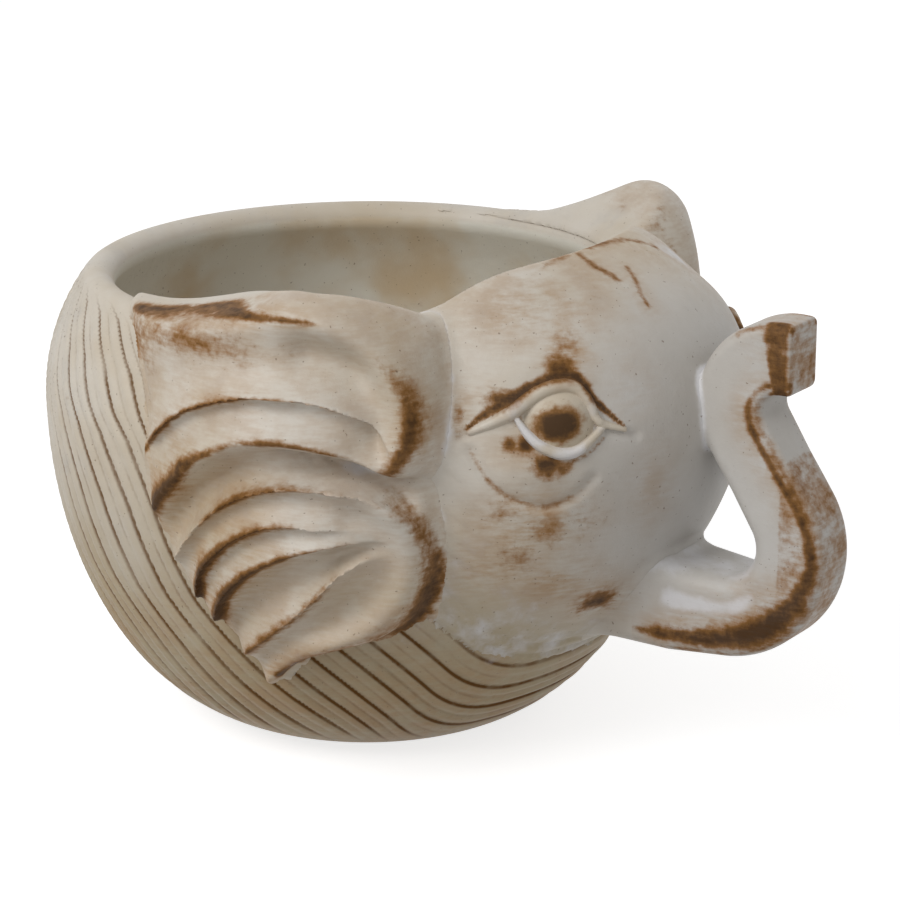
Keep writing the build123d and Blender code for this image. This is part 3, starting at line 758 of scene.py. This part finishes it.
def ear_marks(marks, d, points, p, name):
    u, z = p @ EAR_U, p[:, 2]
    q = np.stack([u, z], 1)
    far = points[:, 1] > 0
    outside = step_up(*EAR_OUTSIDE, np.hypot(p[:, 0], p[:, 1]) - RIM_RADIUS)
    clean = 1 - far * (1 - step_up(*FAR_TOP_FRONT, u)) * step_up(*FAR_TOP_HEIGHT, z)
    stain, tint = (mark * clean for mark in ridge_stain(u, z))
    rim, strengths, widths = RIM_STAINS[name]
    gap, along = line_distance(q, curve_through(rim, 6))
    strength = np.interp(along, *strengths)
    if name == "ear_upper":
        strength = strength * np.where(far, 1 - step_up(*FAR_RIM_HEIGHT, z), 1.0)
    marks["stain"] = np.maximum(stain, strength * bump(gap, np.interp(along, *widths))) * outside
    tints = [tint, strength * bump(gap, RIM_TINT_WIDTH), np.full(len(p), EAR_TINT)]
    marks["tint"] = np.maximum.reduce(tints) * outside
    edge = line_distance(q, FAR_OUTLINE, closed=True)[0]
    far_edge = far * step_up(*FAR_EDGE_FRONT, u) * step_up(*FAR_EDGE_HEIGHT, z)
    deepen(marks, stain=0.38 * bump(edge, 0.8) * far_edge, tint=0.6 * bump(edge, 2.0) * far_edge)
    deepen(marks, slip=SEAM_SLIP * bump(d["head"], SEAM_SLIP_WIDTH) * step_up(*EAR_SLIP_ABOVE, z))
    notch = np.hypot((u - NOTCH_CENTRE[0]) / NOTCH_SIZE[0], (z - NOTCH_CENTRE[1]) / NOTCH_SIZE[1])
    deepen(marks, slip=SEAM_SLIP * bump(notch, 1.0))


def face_marks(marks, p, name):
    f, v, o = eye_coords(p)
    q = np.stack([f, v], 1)
    near = (np.abs(o) < FACE_DEPTH).astype(float)
    for place in EYE_STAINS + CHEEK_STAINS:
        deepen(marks, stain=spot(f, v, place) * near)
    for place in FACE_TINTS:
        deepen(marks, tint=spot(f, v, place) * near)
    gap, along = line_distance(q, LID_STAIN)
    lid_line = bump(gap, spread(along, LID_STAIN_WIDTHS)) * near
    deepen(marks, stain=1.1 * lid_line)
    deepen(marks, stain=0.6 * bump(line_distance(q, UNDER_LINE)[0], 0.8) * near)
    fold, along = line_distance(q, UNDER_FOLD)
    deepen(marks, stain=np.interp(along, *FOLD_STAIN) * bump(fold, 1.1) * near)
    if name == "eyeball":
        marks["tint"] = np.zeros(len(p))
        pupil = 1.3 * np.exp(-(np.hypot((f + 0.5) / 7.6, (v + 0.4) / 5.8) ** 3))
        marks["stain"] = pupil * (1 - 0.25 * step_up(1, 5, v) - 0.3 * step_up(2, 7, f))
    if name == "lower_eyelid":
        marks["stain"], marks["tint"] = np.zeros(len(p)), np.zeros(len(p))
        # The lower lids are whitened all over: white slip together with a painted highlight on the lid
        marks["slip"] = np.full(len(p), 0.52)
    if name == "upper_eyelid":
        marks["stain"] = 0.8 * lid_line
        marks["slip"] = np.full(len(p), 0.25)


def head_marks(marks, d, points, p):
    z, from_bowl = p[:, 2], d["bowl_plain"]
    ear = np.minimum(d["ear_upper"], d["ear_lower"])
    deepen(marks, slip=SEAM_SLIP * bump(ear, SEAM_SLIP_WIDTH) * step_up(*HEAD_SLIP_ABOVE, z))
    deepen(marks, slip=0.5 * bump(from_bowl, 6.0) * (1 - step_up(80, 100, z)))
    # Olive cast with painted shade in the crease low down where the head meets the bowl
    marks["olive_and_shade"] = (1 - step_up(*OLIVE_SHADE_HEIGHT, z)) * (1 - step_up(*OLIVE_SHADE_FROM_BOWL, from_bowl))
    deepen(marks, slip=0.9 * bump(d["trunk"], TRUNK_SLIP_WIDTH) * step_up(*TRUNK_SLIP_ABOVE, z))
    far_crown = np.linalg.norm((points - FAR_CROWN_SLIP) / FAR_CROWN_SIZE, axis=1)
    deepen(marks, slip=0.75 * bump(far_crown, 1.0))
    deepen(marks, stain=0.3 * bump(np.minimum(d["upper_eyelid"], d["lower_eyelid"]), 1.2))
    for line, width, strength in CROWN_STREAKS:
        gap = line_distance(points, curve_through(line, 3))[0]
        deepen(marks, stain=strength * bump(gap, width), tint=0.6 * bump(gap, 4 * width))


def trunk_marks(marks, d, p):
    s, n = trunk_coords(p[:, 0], p[:, 2])
    half_w, half_t = trunk_halves(s)
    past_side = np.abs(p[:, 1]) - half_w
    side = step_up(-5, -2, past_side)
    across = n - np.interp(s, TRUNK_LINE_AT, TRUNK_LINE_ACROSS)
    width = np.interp(s, TRUNK_LINE_AT, TRUNK_LINE_WIDTH)
    strength = np.interp(s, TRUNK_LINE_AT, TRUNK_LINE_STRENGTH, left=0)
    deepen(marks, stain=strength * bump(across, width) * side)
    deepen(marks, tint=0.85 * strength * bump(across, 2.5 * width + 2) * side)
    corner = np.hypot(past_side + CURL_CORNER, -n - half_t + CURL_CORNER)
    deepen(marks, stain=0.6 * bump(corner, CURL_CORNER) * step_up(30, 45, s))
    # The trunk's outer face, turned from the light, is darkened with stain and tan: partly stain, partly painted
    # shade
    outer_face_stain_and_shade = step_up(-2.5, -0.5, -n - half_t) * step_up(55, 75, s) * (1 - step_up(92, 118, s))
    deepen(marks, stain=0.4 * outer_face_stain_and_shade, tint=0.7 * outer_face_stain_and_shade)
    end_face = step_up(-1.2, -0.3, p[:, 0] - TIP_X - TIP_LENGTH)
    deepen(marks, stain=0.9 * step_up(S4 - 4.5, S4 - 2, s) * side * (1 - end_face))
    deepen(marks, stain=0.4 * end_face)
    tip_edge = np.hypot(past_side + TIP_CORNER, np.abs(n) - half_t + TIP_CORNER)
    deepen(marks, stain=0.85 * bump(tip_edge, 1.6) * step_up(S4 - 14, S4 - 4, s))
    deepen(marks, tint=0.8 * step_up(S4 - 12, S4, s))
    deepen(marks, slip=0.9 * bump(d["head"], TRUNK_SLIP_WIDTH) * step_up(*TRUNK_SLIP_ABOVE, p[:, 2]))
    # Painted highlights in white on the top of the trunk's root and curl, where the light falls on them
    highlight_inside_curl = step_up(32, 40, s) * (1 - step_up(66, 76, s)) * side
    deepen(marks, slip=0.7 * bump(n - 4, 3.5) * highlight_inside_curl)
    deepen(marks, slip=0.55 * bump(n - half_t, 3.0) * (s < S2) * (s > ROOT_RUN * 0.6))


def surface_marks(points, name):
    """The marks at each point of a piece's surface."""
    d = all_fields(points)
    p = points.copy()
    p[:, 1] = -np.abs(p[:, 1])
    marks = {key: np.zeros(len(p)) for key in ("stain", "tint", "slip", "strand", "cool", "olive_and_shade")}
    marks["strand"] += 0.5
    if name.startswith("ear"):
        ear_marks(marks, d, points, p, name)
    if name in ("head", "upper_eyelid", "lower_eyelid", "eyeball"):
        face_marks(marks, p, name)
    if name == "head":
        head_marks(marks, d, points, p)
    if name in ("head", "trunk"):
        marks["cool"] = step_up(*COOL_FROM_X, p[:, 0])
        mouth = np.linalg.norm((p - MOUTH_CORNER) / MOUTH_SIZE, axis=1)
        deepen(marks, stain=1.05 * bump(mouth, 6.2), tint=0.9 * bump(mouth, 11))
    if name == "trunk":
        trunk_marks(marks, d, p)
    for key, most in (("stain", 1.3), ("tint", 1), ("slip", 1)):
        marks[key] = np.clip(marks[key], 0, most)
    return marks


# Each piece's form, the corners of the box it lies in, its grid's step, and whether one half is mirrored
NODES = {
    "head": ("head", (60, -84, 30), (140, 84, 174), 1.0, False),
    "trunk": ("trunk", (78, -26, 36), (176, 0, 160), 0.75, True),
    "right_ear_upper": ("ear_upper", (-26, -130, 84), (108, -38, 174), 0.8, False),
    "left_ear_upper": ("ear_upper", (-26, 38, 84), (108, 130, 174), 0.8, False),
    "right_ear_lower": ("ear_lower", (-2, -128, 28), (100, -50, 124), 0.8, False),
    "right_eyeball": ("eyeball", (92, -66, 108), (122, -34, 142), 0.45, False),
    "right_upper_eyelid": ("upper_eyelid", (82, -74, 112), (124, -30, 144), 0.4, False),
    "right_lower_eyelid": ("lower_eyelid", (88, -70, 106), (122, -32, 134), 0.4, False),
}

pieces = {}
for node, (form, low, high, step, mirrored) in NODES.items():
    points, quads = mesh_piece(form, low, high, step, mirrored)
    marks = surface_marks(points, form)
    pieces[node] = add_mesh("visual_" + node, points, quads, marks)
    left = node.replace("right_", "left_")
    if left not in NODES:
        pieces[left] = add_mesh("visual_" + left, points * [1, -1, 1], quads[:, ::-1], marks)


# Bowl: its section turned round, with the strands raised on the outside
TURNS = 500
FOOT_ROWS, SIDE_ROWS, SHOULDER_ROWS, LIP_ROWS, OUTER_LIP_ROWS = 6, 112, 36, 14, 9
INNER_SHOULDER_ROWS, INNER_SIDE_ROWS, FLOOR_ROWS = 8, 20, 5
DRAWN_BEGINS, DRAWN_ENDS, DRAWN_FROM_HEAD = (4, 16), (140, 147), (1, 10)
CHIN_BEARING, CHIN_HEIGHT, CHIN_STRONGER = (60, 80), (50, 70), 0.25
LOW_SHADE_TINT, LOW_SHADE_TINT_ENDS = 0.75, (10, 90)
BOWL_SLIP, BOWL_SLIP_WIDTH, BOWL_SLIP_ENDS = 0.5, 8.0, (110, 130)


def bowl_section():
    """Rows of the closed section: radius, height, and 1 where the strands are."""
    rows = []
    for r in np.linspace(DRAIN_RADIUS, FOOT_RADIUS, FOOT_ROWS):
        rows.append((r, 0.0, 0.0))
    for a in np.linspace(0, math.pi / 2, SIDE_ROWS)[1:]:
        rows.append((FOOT_RADIUS + BELLY_SPREAD * math.sin(a), BELLY_HEIGHT * (1 - math.cos(a)), 1.0))
    radius = SHOULDER_RADIUS
    for a in np.linspace(0, LIP_ANGLE, SHOULDER_ROWS)[1:]:
        rows.append((SHOULDER_X + radius * math.cos(a), BELLY_HEIGHT + radius * math.sin(a), 1.0))
    for a in np.linspace(LIP_ANGLE, LIP_ANGLE + math.pi, LIP_ROWS)[1:]:
        rows.append((RIM_RADIUS + WALL / 2 * math.cos(a), LIP_HEIGHT + WALL / 2 * math.sin(a), 0.0))
    radius = SHOULDER_RADIUS - WALL
    for a in np.linspace(LIP_ANGLE, 0, INNER_SHOULDER_ROWS)[1:]:
        rows.append((SHOULDER_X + radius * math.cos(a), BELLY_HEIGHT + radius * math.sin(a), 0.0))
    for a in np.linspace(math.pi / 2, 0, INNER_SIDE_ROWS)[1:]:
        height = BELLY_HEIGHT - (BELLY_HEIGHT - FLOOR) * math.cos(a)
        rows.append((FOOT_RADIUS + (BELLY_SPREAD - WALL) * math.sin(a), height, 0.0))
    for r in np.linspace(FOOT_RADIUS, DRAIN_RADIUS, FLOOR_ROWS)[1:]:
        rows.append((r, FLOOR, 0.0))
    return np.array(rows)


section = bowl_section()
angles = np.arange(TURNS) * 2 * math.pi / TURNS
r_grid, z_grid, outer = (np.repeat(section[:, i:i + 1], TURNS, 1) for i in range(3))
signed_angles = (angles[None, :] + math.pi) % (2 * math.pi) - math.pi
turn_grid = np.abs(np.degrees(signed_angles)) + 0 * r_grid
tangent = np.gradient(section[:, :2], axis=0)
normal = np.stack([tangent[:, 1], -tangent[:, 0]], 1)
normal /= np.linalg.norm(normal, axis=1)[:, None]
relief = np.where(outer > 0.5, strand_relief(turn_grid, z_grid), 0)
r_grid = r_grid + relief * normal[:, :1]
z_grid = z_grid + relief * normal[:, 1:]
bowl_points = np.stack([r_grid * np.cos(angles), r_grid * np.sin(angles), z_grid], -1).reshape(-1, 3)
index = np.arange(len(bowl_points)).reshape(len(section), TURNS)
above = np.roll(index, -1, axis=0)
bowl_quads = np.stack([index, np.roll(index, -1, 1), np.roll(above, -1, 1), above], -1).reshape(-1, 4)
strand = np.where(outer > 0.5, strand_number(turn_grid, z_grid), 0.5).ravel()
drawn = (outer * step_up(*DRAWN_BEGINS, z_grid) * (1 - step_up(*DRAWN_ENDS, z_grid))).ravel()
chin = (1 - step_up(*CHIN_BEARING, turn_grid)) * (1 - step_up(*CHIN_HEIGHT, z_grid))
drawn = drawn * (1 + CHIN_STRONGER * chin.ravel())
# The bowl's inside, whose colours are painted light that brightens its shaded hollow
hollow = np.zeros(index.shape)
hollow[FOOT_ROWS + SIDE_ROWS - 1 + SHOULDER_ROWS - 1 + OUTER_LIP_ROWS:] = 1.0
# Tan towards the bottom of the bowl: partly a tan smear, partly painted shade on the downward-facing belly
low_shade_tint = (LOW_SHADE_TINT * (1 - step_up(*LOW_SHADE_TINT_ENDS, z_grid)) * outer).ravel()
# Olive cast with painted shade on the lower, downward-facing part of the bowl
olive_and_shade = ((1 - step_up(*OLIVE_SHADE_HEIGHT, z_grid)) * outer).ravel()
beside = all_fields(bowl_points)["head"]
drawn = drawn * step_up(*DRAWN_FROM_HEAD, beside)
bowl_slip = BOWL_SLIP * bump(beside, BOWL_SLIP_WIDTH) * outer.ravel()
bowl_slip = bowl_slip * (1 - step_up(*BOWL_SLIP_ENDS, bowl_points[:, 2]))
bowl_marks = {
    "stain": np.zeros(len(bowl_points)), "tint": low_shade_tint, "slip": bowl_slip, "strand": strand,
    "drawn": drawn, "hollow": hollow.ravel(), "olive_and_shade": olive_and_shade,
}
pieces["bowl"] = add_mesh("visual_bowl", bowl_points, bowl_quads, bowl_marks)


# Whitewash over brown-stained clay
def colour(red, green, blue):
    """A colour as the eye names it, in the linear values of a shader."""
    shares = (c / 255 for c in (red, green, blue))
    return tuple(((c + 0.055) / 1.055) ** 2.4 if c > 0.04 else c / 12.92 for c in shares) + (1.0,)


class Nodes:
    """Short ways to add and join shader nodes."""

    def __init__(self, material):
        self.tree = material.node_tree
        self.tree.nodes.clear()

    def add(self, kind, **settings):
        node = self.tree.nodes.new(kind)
        for key, value in settings.items():
            setattr(node, key, value)
        return node

    def put(self, socket, value):
        if hasattr(value, "is_output"):
            self.tree.links.new(value, socket)
        else:
            socket.default_value = value

    def math(self, operation, *values, clamp=False):
        node = self.add("ShaderNodeMath", operation=operation, use_clamp=clamp)
        for socket, value in zip(node.inputs, values):
            self.put(socket, value)
        return node.outputs[0]

    def times(self, a, b):
        return self.math("MULTIPLY", a, b)

    def plus(self, a, b):
        return self.math("ADD", a, b)

    def minus(self, a, b):
        return self.math("SUBTRACT", a, b)

    def seen_rays(self):
        """1 for the camera's own rays and those in gloss and glass, 0 for light that falls on the object."""
        rays = self.add("ShaderNodeLightPath").outputs
        others = self.math("MAXIMUM", rays["Is Glossy Ray"], rays["Is Transmission Ray"])
        return self.math("MAXIMUM", rays["Is Camera Ray"], others)

    def attribute(self, name):
        return self.add("ShaderNodeAttribute", attribute_name=name).outputs["Fac"]

    def noise(self, vector, scale, detail, roughness):
        node = self.add("ShaderNodeTexNoise")
        for key, value in zip(("Vector", "Scale", "Detail", "Roughness"), (vector, scale, detail, roughness)):
            self.put(node.inputs[key], value)
        return node.outputs["Fac"]

    def scaled(self, vector, by):
        node = self.add("ShaderNodeVectorMath", operation="MULTIPLY")
        self.put(node.inputs[0], vector)
        self.put(node.inputs[1], by)
        return node.outputs[0]

    def ramp(self, value, low, high):
        node = self.add("ShaderNodeMapRange", interpolation_type="SMOOTHSTEP")
        for key, v in (("Value", value), ("From Min", low), ("From Max", high)):
            self.put(node.inputs[key], v)
        return node.outputs["Result"]

    def mix(self, share, a, b):
        node = self.add("ShaderNodeMix", data_type="RGBA")
        self.put(node.inputs["Factor"], share)
        for socket, value in zip([s for s in node.inputs if s.type == "RGBA"], (a, b)):
            self.put(socket, value)
        return [s for s in node.outputs if s.type == "RGBA"][0]


# Colours of the wash, the bowl's underside (an olive cast with painted shade) and inside (paler, as painted
# light), the stain, the drawn lines, the slip with its painted highlights and the pinholes
CREAM, BEIGE, GREY = colour(204, 197, 186), colour(188, 174, 152), colour(178, 174, 168)
COOL_LIGHT, COOL_DARK = colour(192, 191, 190), colour(176, 172, 166)
OLIVE_SHADE_PALE, OLIVE_SHADE_DEEP = colour(172, 157, 126), colour(150, 132, 96)
# The inside colours are paler than the wash: painted light for the shaded hollow
INSIDE_PAINTED_LIGHT, INSIDE_TAN_PAINTED_LIGHT = colour(212, 209, 198), colour(196, 176, 146)
TAN, BROWN, DARK_BROWN = colour(160, 122, 76), colour(140, 96, 46), colour(64, 39, 12)
LINE_BROWN, FINE_LINE_BROWN = colour(100, 68, 32), colour(120, 88, 50)
SLIP_AND_HIGHLIGHT_WHITE, PINHOLE_BROWN = colour(214, 213, 215), colour(92, 66, 40)
STREAK_STRETCH = (1.0, 1.0, 5.0)
BUMP_STRENGTH, BUMP_DEPTH = 0.35, 0.0012


def washed_clay():
    material = bpy.data.materials.new("washed_terracotta")
    material.use_nodes = True
    n = Nodes(material)
    place = n.add("ShaderNodeTexCoord").outputs["Object"]
    stain, slip = n.attribute("stain"), n.attribute("slip")
    strand, drawn = n.attribute("strand"), n.attribute("drawn")
    broad = n.noise(place, 16, 4, 0.55)
    middle = n.noise(place, 70, 5, 0.6)
    fine = n.noise(place, 420, 4, 0.6)
    grain = n.noise(place, 1600, 2, 0.5)
    # The wash, greyer at the front, darker and more olive below with painted shade, and paler inside the bowl as
    # painted light
    base = n.mix(n.ramp(broad, 0.35, 0.68), CREAM, BEIGE)
    base = n.mix(n.times(n.ramp(middle, 0.5, 0.8), 0.5), base, GREY)
    base = n.mix(n.times(n.attribute("cool"), 0.75), base, n.mix(middle, COOL_LIGHT, COOL_DARK))
    base = n.mix(n.times(n.attribute("olive_and_shade"), 0.8), base, n.mix(broad, OLIVE_SHADE_PALE, OLIVE_SHADE_DEEP))
    inside_painted_light = n.mix(n.ramp(broad, 0.45, 0.65), INSIDE_PAINTED_LIGHT, INSIDE_TAN_PAINTED_LIGHT)
    base = n.mix(n.times(n.attribute("hollow"), 0.9), base, inside_painted_light)
    # Stain: the mark on the surface broken up by the wash, paler where it is rubbed
    streak = n.noise(n.scaled(place, STREAK_STRETCH), 160, 3, 0.6)
    smeared = n.ramp(n.plus(middle, n.times(streak, 0.6)), 0.55, 1.0)
    base = n.mix(n.times(n.times(n.attribute("tint"), smeared), 0.8), base, TAN)
    broken = n.plus(n.times(middle, 0.8), n.plus(n.times(fine, 0.7), n.times(streak, 0.35)))
    worn = n.minus(n.plus(stain, n.times(broken, 1.1)), 1.28)
    brown_share = n.times(n.ramp(worn, -0.1, 0.5), 0.95)
    base = n.mix(brown_share, base, n.mix(n.ramp(worn, 0.2, 0.9), BROWN, DARK_BROWN))
    # Drawn lines of the strands, and the finer ones half way between
    to_line = n.math("ABSOLUTE", n.minus(strand, n.math("ROUND", strand)))
    wander = n.times(n.minus(middle, 0.5), 0.06)
    line = n.times(n.minus(1.0, n.ramp(n.plus(to_line, wander), 0.015, 0.115)), drawn)
    patchy = n.ramp(n.plus(middle, n.times(broad, 0.6)), 0.55, 0.95)
    line_share = n.math("MULTIPLY", line, n.plus(0.35, n.times(patchy, 0.6)), clamp=True)
    base = n.mix(line_share, base, LINE_BROWN)
    to_half = n.math("ABSOLUTE", n.minus(n.math("FRACT", strand), 0.5))
    half_line = n.times(n.minus(1.0, n.ramp(to_half, 0.0, 0.08)), n.math("MINIMUM", drawn, 1.0))
    half_patchy = n.ramp(n.plus(middle, n.times(broad, 0.7)), 0.75, 1.05)
    base = n.mix(n.times(half_line, n.times(half_patchy, 0.45)), base, FINE_LINE_BROWN)
    # White slip with its painted highlights, pinholes, gloss and fine relief
    slip_edge = n.plus(slip, n.times(n.minus(middle, 0.5), 1.8))
    base = n.mix(n.times(n.ramp(slip_edge, 0.3, 0.85), 0.8), base, SLIP_AND_HIGHLIGHT_WHITE)
    speck = n.ramp(n.noise(place, 900, 1, 0.5), 0.735, 0.77)
    base = n.mix(n.times(speck, 0.55), base, PINHOLE_BROWN)
    lift = n.add("ShaderNodeBump")
    lift.inputs["Strength"].default_value = BUMP_STRENGTH
    lift.inputs["Distance"].default_value = BUMP_DEPTH
    high = n.plus(n.times(middle, 0.5), n.plus(n.times(fine, 0.3), n.times(grain, 0.1)))
    n.put(lift.inputs["Height"], high)
    shader = n.add("ShaderNodeBsdfPrincipled")
    n.put(shader.inputs["Base Color"], base)
    n.put(shader.inputs["Roughness"], n.plus(0.42, n.times(fine, 0.22)))
    n.put(shader.inputs["Normal"], lift.outputs["Normal"])
    stained = n.math("MAXIMUM", brown_share, line_share)
    n.put(shader.inputs["Specular IOR Level"], n.minus(0.45, n.times(stained, 0.4)))
    end = n.add("ShaderNodeOutputMaterial")
    n.put(end.inputs["Surface"], shader.outputs[0])
    return material


clay = washed_clay()
for node, piece in pieces.items():
    piece.data.materials.append(clay)
    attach(piece, "root")
    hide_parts(node)

# Floor, light and camera
FLOOR_SIZE, FLOOR_COLOUR, FLOOR_GLOW, WORLD_LIGHT = 12, (0.55, 0.55, 0.55, 1), 0.75, 0.45
WHITE = (1, 1, 1, 1)
bpy.ops.mesh.primitive_plane_add(size=FLOOR_SIZE, location=(0, 0, 0))
floor = bpy.context.object
floor.name = "floor"
pale = bpy.data.materials.new("pale_floor")
pale.use_nodes = True
n = Nodes(pale)
seen = n.seen_rays()
dull = n.add("ShaderNodeBsdfDiffuse")
dull.inputs["Color"].default_value = FLOOR_COLOUR
glow = n.add("ShaderNodeEmission")
glow.inputs["Color"].default_value = WHITE
glow.inputs["Strength"].default_value = FLOOR_GLOW
both = n.add("ShaderNodeAddShader")
n.put(both.inputs[0], dull.outputs[0])
n.put(both.inputs[1], glow.outputs[0])
choose = n.add("ShaderNodeMixShader")
n.put(choose.inputs["Fac"], seen)
n.put(choose.inputs[1], dull.outputs[0])
n.put(choose.inputs[2], both.outputs[0])
n.put(n.add("ShaderNodeOutputMaterial").inputs["Surface"], choose.outputs[0])
floor.data.materials.append(pale)

world = bpy.data.worlds.new("studio")
bpy.context.scene.world = world
world.use_nodes = True
n = Nodes(world)
seen = n.seen_rays()
backdrop = n.add("ShaderNodeBackground")
backdrop.inputs["Color"].default_value = WHITE
n.put(backdrop.inputs["Strength"], n.plus(WORLD_LIGHT, n.times(seen, 1 - WORLD_LIGHT)))
n.put(n.add("ShaderNodeOutputWorld").inputs["Surface"], backdrop.outputs[0])

# Each light: its place, what it aims at, its size and its watts
LIGHTS = {
    "key": ((-0.2, -1.0, 0.9), (0.03, 0, 0.08), 0.6, 8.6),
    "fill": ((1.0, -0.5, 0.8), (0.03, 0, 0.08), 0.9, 0.8),
    "back": ((0.1, 1.1, 0.8), (0.0, 0, 0.08), 0.8, 1.6),
}
for name, (place, aim, size, watts) in LIGHTS.items():
    data = bpy.data.lights.new(name, "AREA")
    data.shape, data.size, data.energy = "SQUARE", size, watts
    light = bpy.data.objects.new(name, data)
    light.location = place
    light.rotation_euler = (Vector(aim) - Vector(place)).to_track_quat("-Z", "Y").to_euler()
    bpy.context.scene.collection.objects.link(light)

AZIMUTH, ELEVATION, DISTANCE = math.radians(36), math.radians(18), 1.0
FOCAL_PIXELS, IMAGE_PIXELS, SENSOR_WIDTH = 3048.8, 900, 36
TARGET = Vector((0, 0, 0.07))
TARGET_PIXEL = (368.4, 490.9)
level = math.cos(ELEVATION)
back = Vector((math.sin(AZIMUTH) * level, -math.cos(AZIMUTH) * level, math.sin(ELEVATION)))
right = Vector((math.cos(AZIMUTH), math.sin(AZIMUTH), 0))
up = back.cross(right)
camera_data = bpy.data.cameras.new("camera")
camera_data.sensor_width = SENSOR_WIDTH
camera_data.lens = SENSOR_WIDTH * FOCAL_PIXELS / IMAGE_PIXELS
camera = bpy.data.objects.new("camera", camera_data)
bpy.context.scene.collection.objects.link(camera)
camera.location = TARGET + DISTANCE * back
off_right, off_up = IMAGE_PIXELS / 2 - TARGET_PIXEL[0], TARGET_PIXEL[1] - IMAGE_PIXELS / 2
aim = TARGET + DISTANCE / FOCAL_PIXELS * (off_right * right + off_up * up)
camera.rotation_euler = (aim - camera.location).to_track_quat("-Z", "Y").to_euler()
bpy.context.scene.camera = camera
bpy.context.scene.view_settings.view_transform = "Standard"
